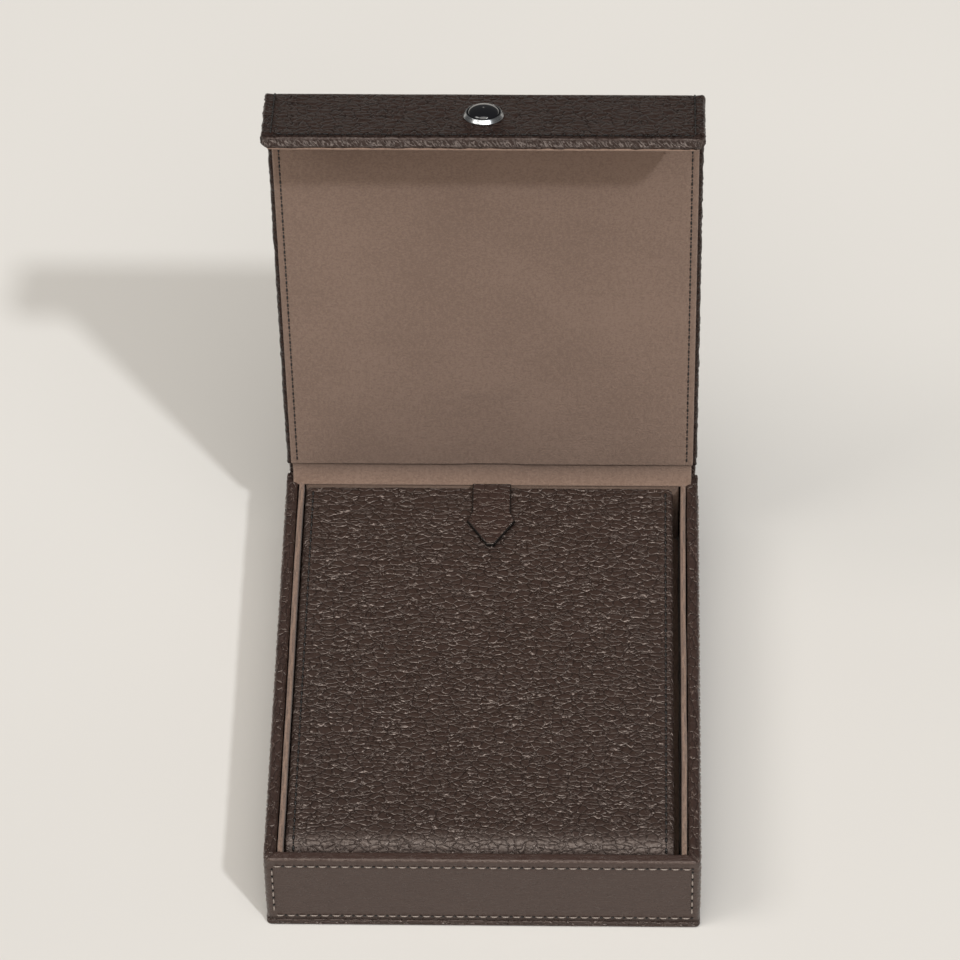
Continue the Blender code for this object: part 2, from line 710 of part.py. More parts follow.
def build_flap_magnets(paint, board, place, fold):
    """Build the two magnets let into the flap's board from inside."""
    face = LEATHER + GAP + FLAP_BOARD
    along = FOLD_Z - magnet_height()
    for name, side in (("left", -1), ("right", 1)):
        seat = place @ Matrix.Translation((side * MAGNET_OFFSET, along, face))
        seat = seat @ Matrix.Rotation(math.pi, 4, "X")
        deep = MAGNET_THICK + GAP
        pocket = disc(
            "flap_pocket_" + name, MAGNET_RADIUS + GAP, -OVERRUN, deep, paint["board"], seat, fold
        )
        cut(board, pocket)
        disc("flap_magnet_" + name, MAGNET_RADIUS, 0.0, MAGNET_THICK, paint["steel"], seat, fold)


def build_stud(paint, skin, board, place, fold):
    """Build the stud: a bevelled ring round a plain dome, on a shank with a washer inside the flap."""
    along = FOLD_Z - (LID_TOP - STUD_DROP)
    seat = place @ Matrix.Translation((0.0, along, -GAP)) @ Matrix.Rotation(math.pi, 4, "X")
    bore = STUD_RADIUS - STUD_RIM - STUD_LIP
    ring = [(bore, 0.0), (STUD_RADIUS - STUD_LIP, 0.0), (STUD_RADIUS, STUD_SEAT)]
    ring += [(STUD_RADIUS, STUD_SEAT + STUD_LIP), (STUD_RADIUS - STUD_LIP, STUD_HEIGHT - STUD_LIP / 2)]
    ring += [(bore + STUD_LIP, STUD_HEIGHT), (bore, STUD_HEIGHT - STUD_LIP)]
    turned("stud_ring", ring, paint["chrome"], seat, fold)
    edge = bore - GAP
    rim = STUD_HEIGHT - STUD_LIP
    shank = SHANK_RADIUS + GAP
    curve = [(edge * math.cos(a), rim + DOME_RISE * math.sin(a)) for a in dome_angles()]
    dome = [(0.0, shank), (shank, shank), (shank, 0.0), (edge, 0.0)] + curve
    turned("stud_dome", dome, paint["enamel"], seat, fold)
    depth = GAP + LEATHER + GAP + FLAP_BOARD
    disc("stud_shank", SHANK_RADIUS, -depth, SHANK_RADIUS, paint["steel"], seat, fold)
    hole = disc("shank_hole", shank, -depth - OVERRUN, OVERRUN, paint["board"], seat, fold)
    cut(skin, hole)
    cut(board, hole)
    floor = -depth + WASHER_THICK + GAP
    wide = WASHER_RADIUS + GAP
    recess = disc("washer_recess", wide, -depth - OVERRUN, floor, paint["board"], seat, fold)
    cut(board, recess)
    top = floor - GAP
    washer = [(shank, -depth), (WASHER_RADIUS, -depth), (WASHER_RADIUS, top), (shank, top)]
    turned("stud_washer", washer, paint["steel"], seat, fold)


def dome_angles():
    """Return the angles of the dome's curve, from its edge to its crown."""
    return [math.pi / 2 * step / EDGE_STEPS / 2 for step in range(2 * EDGE_STEPS + 1)]


# Folio

def build_folio(paint):
    """Build the folio: its base, the pen beds, the leather that rolls up at the front, and the cover."""
    lift = pivot("folio_pivot", (FOLIO_SHIFT, 0.0, 0.0))
    half = FOLIO_WIDTH / 2
    spine_x = half - EDGE_ROUND
    block(
        "folio_base",
        (-half, FOLIO_FRONT, FOLIO_FOOT),
        (half, FOLIO_BACK, FOLIO_FOOT + FOLIO_BASE),
        paint["leather"],
        lift,
        rounding=RAIL_ROUND,
    )
    middle = ROLL_RADIUS - LEATHER / 2
    roll = arc((ROLL_Y, ROLL_Z), middle, math.pi / 2 + GAP / 2 / ROLL_RADIUS, math.pi, ROLL_STEPS)
    line = roll + [(ROLL_Y - middle, BED_FOOT)]
    prism("folio_spine", ribbon(line, LEATHER), -spine_x, spine_x, paint["leather"], lift, smooth=True)
    build_beds(paint, lift)
    build_cover(paint, lift)


def build_beds(paint, lift):
    """Build the padded floor, the rails round it and the dividers between the pens."""
    suede = paint["suede"]
    front = FOLIO_FRONT + LEATHER + GAP
    inner = RAIL_HALF - RAIL
    block(
        "rail_front",
        (-RAIL_HALF, front, BED_FOOT),
        (RAIL_HALF, BED_FRONT, DIVIDER_TOP),
        suede,
        lift,
        rounding=RAIL_ROUND,
    )
    for name, side in (("rail_left", -1), ("rail_right", 1)):
        low_x, high_x = sorted((side * RAIL_HALF, side * inner))
        low = (low_x, BED_FRONT + GAP, BED_FOOT)
        block(name, low, (high_x, FOLIO_BACK, RAIL_TOP), suede, lift, rounding=RAIL_ROUND)
    reach = inner - GAP
    low, high = (-reach, BED_BACK, BED_FOOT), (reach, FOLIO_BACK, RAIL_TOP)
    block("rail_back", low, high, suede, lift, rounding=RAIL_ROUND)
    front, back = BED_FRONT + GAP, BED_BACK - GAP
    block("bed_floor", (-reach, front, BED_FOOT), (reach, back, BED_TOP), suede, lift)
    pitch = (2 * reach + DIVIDER) / BEDS
    for index in range(1, BEDS):
        centre = -reach - DIVIDER / 2 + pitch * index
        block(
            f"divider_{index}",
            (centre - DIVIDER / 2, front, BED_TOP + GAP),
            (centre + DIVIDER / 2, back, DIVIDER_TOP),
            suede,
            lift,
            rounding=RAIL_ROUND,
        )


def build_cover(paint, lift):
    """Build the cover on the roll's axis, and the pull tab on it."""
    roll = pivot("cover_pivot", (0.0, ROLL_Y, ROLL_Z), parent=lift)
    panel = TurnedPanel(FOLIO_WIDTH, COVER_LENGTH, COVER_BOARD, COVER_CORNER, COVER_THICK, GAP / 2)
    place = Matrix.Translation((0.0, 0.0, ROLL_RADIUS)) @ Matrix.Rotation(math.pi, 4, "Y")
    panel.skin("cover_leather", paint["leather"], place, roll)
    panel.core("cover_board", paint["board"], place, roll)
    panel.lining("cover_lining", paint["suede"], place, roll)
    build_tab(paint, roll)


def tab_slab(name, outline, material, parent, placement=None):
    """Return a slab of leather of one outline, half its thickness above and below its own origin."""
    shape = bmesh.new()
    face = shape.faces.new([shape.verts.new((x, y, -TAB_THICK / 2)) for x, y in outline])
    raised = bmesh.ops.extrude_face_region(shape, geom=[face])["geom"]
    moved = [element for element in raised if isinstance(element, bmesh.types.BMVert)]
    bmesh.ops.translate(shape, vec=(0.0, 0.0, TAB_THICK), verts=moved)
    return finish(name, shape, material, placement, parent)


def build_tab(paint, roll):
    """Build the pull tab: its sewn end, the stretch that bends and the free, flared tongue."""
    place = (-FOLIO_SHIFT, TAB_PIVOT_Y - ROLL_Y, TAB_PIVOT_Z - ROLL_Z)
    hinge = pivot("tab_pivot", place, parent=roll)
    half = TAB_WIDTH / 2
    sewn, bend = TAB_BEND + TAB_SEWN, TAB_BEND
    root = [(-half, bend), (half, bend), (half, sewn), (-half, sewn)]
    tab_slab("tab_root", root, paint["leather"], roll, Matrix.Translation(place))
    bent = [(-half, GAP), (half, GAP), (half, bend - GAP), (-half, bend - GAP)]
    tab_slab("tab_bend", bent, paint["leather"], roll, Matrix.Translation(place))
    straight, flare, tip = (sewn - reach for reach in (TAB_STRAIGHT, TAB_FLARE, TAB_LENGTH))
    right = [(half, 0.0), (half, straight), (TAB_FLARE_WIDTH / 2, flare), (TAB_TIP_WIDTH / 2, tip)]
    left = [(-x, y) for x, y in right[::-1]]
    tongue = tab_slab("pull_tab", left + right, paint["leather"], hinge)
    round_edges(tongue, min(TAB_ROUND, TAB_THICK / 4))


def main():
    """Build the whole pen case."""
    clear_scene()
    paint = make_materials()
    build_case(paint)
    build_lid(paint)
    build_folio(paint)
    bpy.context.view_layer.update()


main()
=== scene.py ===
"""Leather, suede, thread, chrome and paint for the pen case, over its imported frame.

Shapes are worked out in millimetres as whole arrays and written to the meshes in metres. A sheet's flat
plane has x across it, v along it and depth from its outer face inwards; a Fold carries it over a corner.
"""

import logging
import math
from collections.abc import Callable
from dataclasses import dataclass, field
from enum import Enum

import bpy
import numpy as np
from mathutils import Matrix, Vector


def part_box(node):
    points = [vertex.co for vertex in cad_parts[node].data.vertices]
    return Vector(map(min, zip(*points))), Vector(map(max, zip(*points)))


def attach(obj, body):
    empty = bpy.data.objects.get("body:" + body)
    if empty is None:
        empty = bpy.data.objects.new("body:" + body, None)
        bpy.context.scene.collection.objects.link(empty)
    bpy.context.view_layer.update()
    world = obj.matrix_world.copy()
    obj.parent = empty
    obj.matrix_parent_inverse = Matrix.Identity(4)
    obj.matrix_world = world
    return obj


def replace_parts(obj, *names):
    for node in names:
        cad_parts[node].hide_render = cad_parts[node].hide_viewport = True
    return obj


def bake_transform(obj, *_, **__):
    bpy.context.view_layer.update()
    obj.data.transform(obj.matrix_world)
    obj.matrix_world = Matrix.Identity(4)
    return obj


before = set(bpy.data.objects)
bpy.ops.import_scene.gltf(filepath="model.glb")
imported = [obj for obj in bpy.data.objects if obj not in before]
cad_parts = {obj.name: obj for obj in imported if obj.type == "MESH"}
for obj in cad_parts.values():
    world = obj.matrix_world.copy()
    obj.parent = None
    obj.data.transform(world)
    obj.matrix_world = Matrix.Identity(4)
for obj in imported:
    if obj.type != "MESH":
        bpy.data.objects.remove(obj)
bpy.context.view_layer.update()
LOG = logging.getLogger("pen case")
MM = 0.001
Array = np.ndarray
Point = tuple[float, float]
Colour = tuple[float, float, float]
Mapped = tuple[Array, Array]
Place = Callable[[Array], Array]
Socket = bpy.types.NodeSocket
Value = float | bpy.types.NodeSocket
MADE: dict[str, bpy.types.Material] = {}


class Pattern(Enum):
    """Where a finish takes its pattern from."""

    SHEET = "the piece's own flat coordinates"
    SOLID = "object coordinates"


# Numbers that many pieces share


@dataclass(frozen=True)
class Sizes:
    """The pen case's sizes in millimetres, as its frame has them, and where its seams run.

    Attributes:
        width: Width of the case.
        depth: Depth of the case.
        height: Height of its walls.
        wall: Thickness of a wall with its leather.
        leather: Thickness of one leather.
        gap: Gap between two pieces that lie on each other.
        lid_thick: Thickness of the lid.
        lid_inset: How far the lid stays inside the case's side.
        lid_back: Distance from the hinge to the lid's back edge.
        open_angle: How far the lid stands open.
        flap_thick: Thickness of the flap.
        flap_gap: Gap between the closed flap and the case's front.
        flap_drop: How far the closed flap reaches below the case's top.
        flap_rest: How far the flap is bent out of square.
        fold_radius: Radius of the fold between them.
        stud_drop: Distance of the stud below the closed lid's top.
        cavity: How far the inside stays back from the front and from the back.
        folio_sides: Clearance of the folio at its left and right.
        folio_ends: Clearance of the folio at its front and back.
        folio_drop: How far the folio's top lies below the case's.
        roll: Radius of the roll at the folio's front.
        back_drop: How far the leather round the back ends below the walls' top.
        outer_seam: Distance from the middle to the stitches down the lid's sides.
        inner_seam: The same for the stitches on the lid's suede.
        cover_seam: The same for the stitches on the folio's cover.
        hem_seam: Distance of the flap's stitches from its free edge.
        hem_half: Half their row's length.
    """

    width: float = 170.0
    depth: float = 209.0
    height: float = 40.0
    wall: float = 4.8
    leather: float = 1.1
    gap: float = 0.3
    lid_thick: float = 6.0
    lid_inset: float = 0.6
    lid_back: float = 3.0
    open_angle: float = math.radians(88.0)
    flap_thick: float = 5.4
    flap_gap: float = 0.6
    flap_drop: float = 31.1
    flap_rest: float = math.radians(16.0)
    fold_radius: float = 4.0
    stud_drop: float = 19.7
    cavity: tuple[float, float] = (6.3, 7.5)
    folio_sides: tuple[float, float] = (0.6, 2.8)
    folio_ends: tuple[float, float] = (1.2, 0.9)
    folio_drop: float = 2.0
    roll: float = 7.0
    back_drop: float = 1.5
    outer_seam: float = 80.6
    inner_seam: float = 80.2
    cover_seam: float = 72.7
    hem_seam: float = 2.8
    hem_half: float = 79.5

    @property
    def half(self) -> float:
        """Return half the case's width."""
        return self.width / 2

    @property
    def line(self) -> float:
        """Return how far the front and the back stand from the middle."""
        return self.depth / 2

    @property
    def lid_top(self) -> float:
        """Return the height of the closed lid's top."""
        return self.height + self.gap + self.lid_thick

    @property
    def hinge(self) -> tuple[float, float]:
        """Return the hinge's axis as y and z."""
        return self.line - self.leather / 2, self.lid_top - self.leather / 2

    @property
    def fold(self) -> tuple[float, float]:
        """Return the axis of the flap's fold, with the lid closed, as y and z."""
        face = -self.line - self.flap_gap - self.flap_thick
        return face + self.fold_radius, self.lid_top - self.fold_radius

    @property
    def flap_length(self) -> float:
        """Return how far the flap reaches from its fold's axis."""
        return self.fold[1] - self.height + self.flap_drop

    @property
    def lid_length(self) -> float:
        """Return how far the lid reaches from the fold's axis to its back edge."""
        return self.hinge[0] - self.lid_back - self.fold[0]

    @property
    def folio_top(self) -> float:
        """Return the height of the cover's face."""
        return self.height - self.folio_drop

    @property
    def folio_back(self) -> float:
        """Return where the cover ends at the back."""
        return self.line - self.cavity[1] - self.folio_ends[1]

    @property
    def folio_roll(self) -> tuple[float, float]:
        """Return the axis of the folio's roll as y and z."""
        return -self.line + self.cavity[0] + self.folio_ends[0] + self.roll, self.folio_top - self.roll


SIZES = Sizes()


def hashed(i: Array, j: Array, seed: float) -> Array:
    """Return a fixed value from 0 to 1 for each lattice point: the fraction of a large sine."""
    value = np.sin(i * 127.1 + j * 311.7 + seed * 74.7) * 43758.5453
    return value - np.floor(value)


def soft_noise(u: Array, v: Array, seed: float) -> Array:
    """Return smooth noise from -1 to 1: the hashed corners of each unit cell, mixed with cubic weights.

    Args:
        u: Position along the first axis, in cells.
        v: Position along the second axis, in cells.
        seed: Which of the many noises to take.

    Returns:
        The noise at every point.
    """
    i, j = np.floor(u), np.floor(v)
    s, t = u - i, v - j
    s, t = s * s * (3 - 2 * s), t * t * (3 - 2 * t)
    low = hashed(i, j, seed) * (1 - s) + hashed(i + 1, j, seed) * s
    high = hashed(i, j + 1, seed) * (1 - s) + hashed(i + 1, j + 1, seed) * s
    return 2 * (low * (1 - t) + high * t) - 1


def smooth_step(value: Array, low: float, high: float) -> Array:
    """Return 0 below low, 1 above high and a cubic ease between them."""
    t = np.clip((value - low) / (high - low), 0, 1)
    return t * t * (3 - 2 * t)


def bell(value: Array, width: float) -> Array:
    """Return a bell curve: 1 at zero, and e to the minus square of value over width elsewhere."""
    return np.exp(-((value / width) ** 2))


def stations(low: float, high: float, coarse: float, fine: float, zone: float) -> Array:
    """Space positions from low to high, fine within a zone at both ends and coarse between them.

    Args:
        low: The first position.
        high: The last position.
        coarse: About how far apart they lie in the middle.
        fine: About how far apart they lie at the ends.
        zone: Length of each fine end.

    Returns:
        The positions, rising.
    """
    count = max(2, round(zone / fine))
    ends = np.linspace(0, zone, count + 1)
    middle = np.linspace(low + zone, high - zone, max(2, round((high - low - 2 * zone) / coarse)) + 1)
    return np.concatenate([low + ends[:-1], middle, high - ends[::-1][1:]])


# Meshes


@dataclass
class Patch:
    """A closed surface in its flat plane or in space, before it becomes an object.

    Attributes:
        points: Places of the points, N by 3, in millimetres.
        faces: Four point numbers for each face, M by 4.
        flat: Where each point lies on the unrolled sheet, N by 2, in millimetres.
        masks: Values from 0 to 1 for each point, by name, that finishes read.
    """

    points: Array
    faces: Array
    flat: Array
    masks: dict[str, Array] = field(default_factory=dict)

    def placed(self, place: Place) -> "Patch":
        """Return the same patch with its points carried to their place."""
        return Patch(place(self.points), self.faces, self.flat, self.masks)

    def volume(self) -> float:
        """Work out the enclosed volume: a sixth of the sum of the triple products over its triangles.

        Returns:
            The volume, below zero where the faces are turned inwards.
        """
        a, b, c, d = (self.points[self.faces[:, k]] for k in range(4))
        first = np.einsum("ij,ij->i", a, np.cross(b, c))
        second = np.einsum("ij,ij->i", a, np.cross(c, d))
        return float((first + second).sum()) / 6


def joined(patches: list[Patch]) -> Patch:
    """Join several patches into one, their point numbers counted on.

    Args:
        patches: The patches.

    Returns:
        One patch, whose masks are 0 where a patch had none of that name.
    """
    starts = np.cumsum([0] + [len(p.points) for p in patches[:-1]])
    names = sorted({name for p in patches for name in p.masks})
    masks = {n: np.concatenate([p.masks.get(n, np.zeros(len(p.points))) for p in patches]) for n in names}
    return Patch(
        np.concatenate([p.points for p in patches]),
        np.concatenate([p.faces + start for p, start in zip(patches, starts)]),
        np.concatenate([p.flat for p in patches]),
        masks,
    )


def perimeter(rows: int, columns: int) -> Array:
    """Number the points round a grid's edge: first row, last column, last row back, first column back.

    Args:
        rows: How many rows the grid has.
        columns: How many columns it has.

    Returns:
        The point numbers, each once.
    """
    first = np.arange(columns)
    right = np.arange(1, rows) * columns + columns - 1
    last = (rows - 1) * columns + np.arange(columns - 2, -1, -1)
    left = np.arange(rows - 2, 0, -1) * columns
    return np.concatenate([first, right, last, left])


def sheet_patch(outer: Array, inner: Array, flats: Mapped, rings: list[Mapped]) -> Patch:
    """Close two grids of points into one surface, with rings of points between their edges.

    Args:
        outer: The outer face as rows by columns by 3.
        inner: The inner face with the same rows and columns.
        flats: The flat coordinates of the two faces, rows by columns by 2.
        rings: Rings from the outer edge to the inner one, each with its points and flat coordinates.

    Returns:
        The closed patch, its faces turned outwards.
    """
    rows, columns = outer.shape[:2]
    number = np.arange(rows * columns).reshape(rows, columns)
    a, b, c, d = number[:-1, :-1], number[:-1, 1:], number[1:, 1:], number[1:, :-1]
    face = np.stack([a, b, c, d], axis=-1).reshape(-1, 4)
    edge = perimeter(rows, columns)
    size = rows * columns
    between = [2 * size + k * len(edge) + np.arange(len(edge)) for k in range(len(rings))]
    loops = [edge, *between, edge + size]
    parts = [face, face[:, ::-1] + size]
    for here, there in zip(loops, loops[1:]):
        after = np.roll(here, -1), np.roll(there, -1)
        parts.append(np.stack([after[0], here, there, after[1]], axis=-1))
    points = np.concatenate([outer.reshape(-1, 3), inner.reshape(-1, 3)] + [ring for ring, _ in rings])
    flat = np.concatenate([flats[0].reshape(-1, 2), flats[1].reshape(-1, 2)] + [flat for _, flat in rings])
    return Patch(points, np.concatenate(parts), flat)


def outward(patch: Patch) -> Patch:
    """Turn a patch's faces outwards, by the sign of its volume.

    Args:
        patch: The closed patch.

    Returns:
        The same patch, or one with every face turned.
    """
    if patch.volume() < 0:
        return Patch(patch.points, patch.faces[:, ::-1], patch.flat, patch.masks)
    return patch


def make_piece(name: str, patch: Patch, finish: "Finish", slot: str) -> bpy.types.Object:
    """Write a patch to a new object at the origin, with its flat coordinates, masks and finish.

    Args:
        name: The piece's name.
        patch: Its closed surface in space.
        finish: The finish it takes.
        slot: The record's material slot it stands for; not used.

    Returns:
        The new object.
    """
    patch = outward(patch)
    mesh = bpy.data.meshes.new(name)
    mesh.from_pydata((patch.points * MM).tolist(), [], patch.faces.tolist())
    layer = mesh.uv_layers.new(name="flat")
    layer.data.foreach_set("uv", patch.flat[patch.faces.ravel()].astype(np.float32).ravel())
    for mask, values in patch.masks.items():
        attribute = mesh.attributes.new(mask, "FLOAT", "POINT")
        attribute.data.foreach_set("value", np.broadcast_to(values, len(patch.points)).astype(np.float32))
    mesh.materials.append(finish.material())
    mesh.shade_smooth()
    item = bpy.data.objects.new(name, mesh)
    bpy.context.scene.collection.objects.link(item)
    LOG.info("%s: %d points, %d faces", name, len(patch.points), len(patch.faces))
    return item


# Finishes


class Shader:
    """Short ways to add and join the nodes of one material.

    Attributes:
        material: The material that it makes.
        tree: That material's nodes.
        surface: Its Principled shader.
    """

    def __init__(self, name: str) -> None:
        """Start a material with its Principled shader.

        Args:
            name: The material's name.
        """
        self.material = bpy.data.materials.new(name)
        self.material.use_nodes = True
        self.tree = self.material.node_tree
        self.surface = self.tree.nodes["Principled BSDF"]

    @staticmethod
    def label(name: str) -> str:
        """Return a socket's label for its name with underscores."""
        return name.replace("_", " ").title().replace("Ior", "IOR")

    def add(self, kind: str, **settings: object) -> bpy.types.Node:
        """Add a node.

        Args:
            kind: Its type's name without the prefix.
            **settings: Settings of its own, or else numbers for the sockets of these names.

        Returns:
            The new node.
        """
        node = self.tree.nodes.new("ShaderNode" + kind)
        for name, value in settings.items():
            if hasattr(node, name):
                setattr(node, name, value)
            else:
                node.inputs[self.label(name)].default_value = value
        return node

    def join(self, source: Socket, target: Socket) -> None:
        """Link an output to an input."""
        self.tree.links.new(source, target)

    def maths(self, operation: str, *values: Value) -> Socket:
        """Work out one step of arithmetic.

        Args:
            operation: The math node's operation.
            *values: The numbers or outputs that it takes.

        Returns:
            The result.
        """
        node = self.add("Math", operation=operation)
        for socket, value in zip(node.inputs, values):
            if isinstance(value, (int, float)):
                socket.default_value = value
            else:
                self.join(value, socket)
        return node.outputs[0]

    def times(self, first: Value, *others: Value) -> Socket:
        """Multiply values in their order.

        Args:
            first: The first number or output.
            *others: What it is multiplied by.

        Returns:
            The product.
        """
        for other in others:
            first = self.maths("MULTIPLY", first, other)
        return first

    def rest(self, value: Value) -> Socket:
        """Return what a value lacks of 1."""
        return self.maths("SUBTRACT", 1.0, value)

    def eased(self, value: Socket, low: float, high: float, start: float = 0.0, end: float = 1.0) -> Socket:
        """Carry a value smoothly from one range to another.

        Args:
            value: The value.
            low: Where the result starts to change.
            high: Where it has changed.
            start: The result up to low.
            end: The result from high on.

        Returns:
            The result.
        """
        node = self.add("MapRange", interpolation_type="SMOOTHSTEP")
        for name, number in (("From Min", low), ("From Max", high), ("To Min", start), ("To Max", end)):
            node.inputs[name].default_value = number
        self.join(value, node.inputs["Value"])
        return node.outputs["Result"]

    def place(self, pattern: Pattern) -> Socket:
        """Add the coordinates that a pattern follows.

        Args:
            pattern: Where it takes them from.

        Returns:
            The place in millimetres.
        """
        if pattern is Pattern.SHEET:
            return self.add("UVMap", uv_map="flat").outputs["UV"]
        scaled = self.add("VectorMath", operation="SCALE")
        scaled.inputs["Scale"].default_value = 1 / MM
        self.join(self.add("TexCoord").outputs["Object"], scaled.inputs[0])
        return scaled.outputs[0]

    def stretched(self, place: Socket, scale: tuple[float, float, float]) -> Socket:
        """Multiply coordinates by a scale along each axis.

        Args:
            place: The coordinates.
            scale: The three scales.

        Returns:
            The new coordinates.
        """
        node = self.add("VectorMath", operation="MULTIPLY")
        node.inputs[1].default_value = scale
        self.join(place, node.inputs[0])
        return node.outputs[0]

    def noise(self, place: Socket, scale: float, detail: float = 2.0, rough: float = 0.5) -> Socket:
        """Add a noise.

        Args:
            place: Its coordinates.
            scale: Its waves in each millimetre.
            detail: How many finer layers it has.
            rough: How strong each finer layer is beside the one before.

        Returns:
            Its value.
        """
        node = self.add("TexNoise", scale=scale, detail=detail, roughness=rough)
        self.join(place, node.inputs["Vector"])
        return node.outputs["Fac"]

    def warped(self, place: Socket, scale: float, reach: float) -> Socket:
        """Push coordinates about by a noise.

        Args:
            place: The coordinates.
            scale: The noise's waves in each millimetre.
            reach: About twice as far as it pushes at most.

        Returns:
            The new coordinates.
        """
        node = self.add("TexNoise", scale=scale, detail=1.0)
        self.join(place, node.inputs["Vector"])
        centred = self.add("VectorMath", operation="SUBTRACT")
        centred.inputs[1].default_value = (0.5, 0.5, 0.5)
        self.join(node.outputs["Color"], centred.inputs[0])
        push = self.add("VectorMath", operation="MULTIPLY_ADD")
        push.inputs[1].default_value = (reach, reach, reach)
        self.join(centred.outputs[0], push.inputs[0])
        self.join(place, push.inputs[2])
        return push.outputs[0]

    def cells(self, place: Socket, feature: str) -> bpy.types.Node:
        """Add a pattern of cells about one unit wide.

        Args:
            place: Its coordinates.
            feature: Which measure of the cells it gives.

        Returns:
            The pattern's node.
        """
        node = self.add("TexVoronoi", feature=feature, scale=1.0)
        self.join(place, node.inputs["Vector"])
        return node

    def border(self, place: Socket) -> Socket:
        """Return how far a place lies from its cell's border."""
        return self.cells(place, "DISTANCE_TO_EDGE").outputs["Distance"]

    def off_centre(self, place: Socket) -> Socket:
        """Work out how far along y a place lies from the middle of its cell.

        Args:
            place: The coordinates.

        Returns:
            The distance, below zero on one side.
        """
        away = self.add("VectorMath", operation="SUBTRACT")
        self.join(place, away.inputs[0])
        self.join(self.cells(place, "F1").outputs["Position"], away.inputs[1])
        parts = self.add("SeparateXYZ")
        self.join(away.outputs["Vector"], parts.inputs["Vector"])
        return parts.outputs["Y"]

    def mixed(self, share: Socket, first: Socket | Colour, second: Socket | Colour) -> Socket:
        """Mix two colours.

        Args:
            share: The second colour's share.
            first: One colour, as three numbers or an output.
            second: The other.

        Returns:
            The mixed colour.
        """
        node = self.add("Mix", data_type="RGBA")
        self.join(share, node.inputs["Factor"])
        for socket, value in ((node.inputs[6], first), (node.inputs[7], second)):
            if isinstance(value, tuple):
                socket.default_value = (*value, 1.0)
            else:
                self.join(value, socket)
        return node.outputs[2]

    def mask(self, name: str) -> Socket:
        """Return a mask that the mesh carries."""
        return self.add("Attribute", attribute_name=name).outputs["Fac"]

    def raised(self, height: Socket, reach: float) -> None:
        """Give the surface a relief.

        Args:
            height: Its height, from 0 to 1.
            reach: What a height of 1 stands for, in millimetres.
        """
        bump = self.add("Bump", strength=1.0, distance=reach * MM)
        self.join(height, bump.inputs["Height"])
        self.join(bump.outputs[0], self.surface.inputs["Normal"])

    def feed(self, **sources: Socket) -> None:
        """Link outputs to the Principled shader's sockets, which are named with underscores."""
        for name, source in sources.items():
            self.join(source, self.surface.inputs[self.label(name)])

    def set(self, **values: float | Colour) -> None:
        """Set the Principled shader's own sockets.

        Args:
            **values: A number or a colour for each, named with underscores.
        """
        for name, value in values.items():
            number = (*value, 1.0) if isinstance(value, tuple) else value
            self.surface.inputs[self.label(name)].default_value = number


def toned(colour: Colour, factor: float) -> Colour:
    """Return a colour made lighter or darker by a factor."""
    return tuple(factor * part for part in colour)


@dataclass(frozen=True)
class Finish:
    """A finish that makes its material once and then gives it to every piece."""

    name: str

    def material(self) -> bpy.types.Material:
        """Return the finish's material, made at its first use.

        Returns:
            The material, the same one at each call.
        """
        if self.name not in MADE:
            MADE[self.name] = self.made()
        return MADE[self.name]

    def made(self) -> bpy.types.Material:
        """Return a new material."""
        raise NotImplementedError


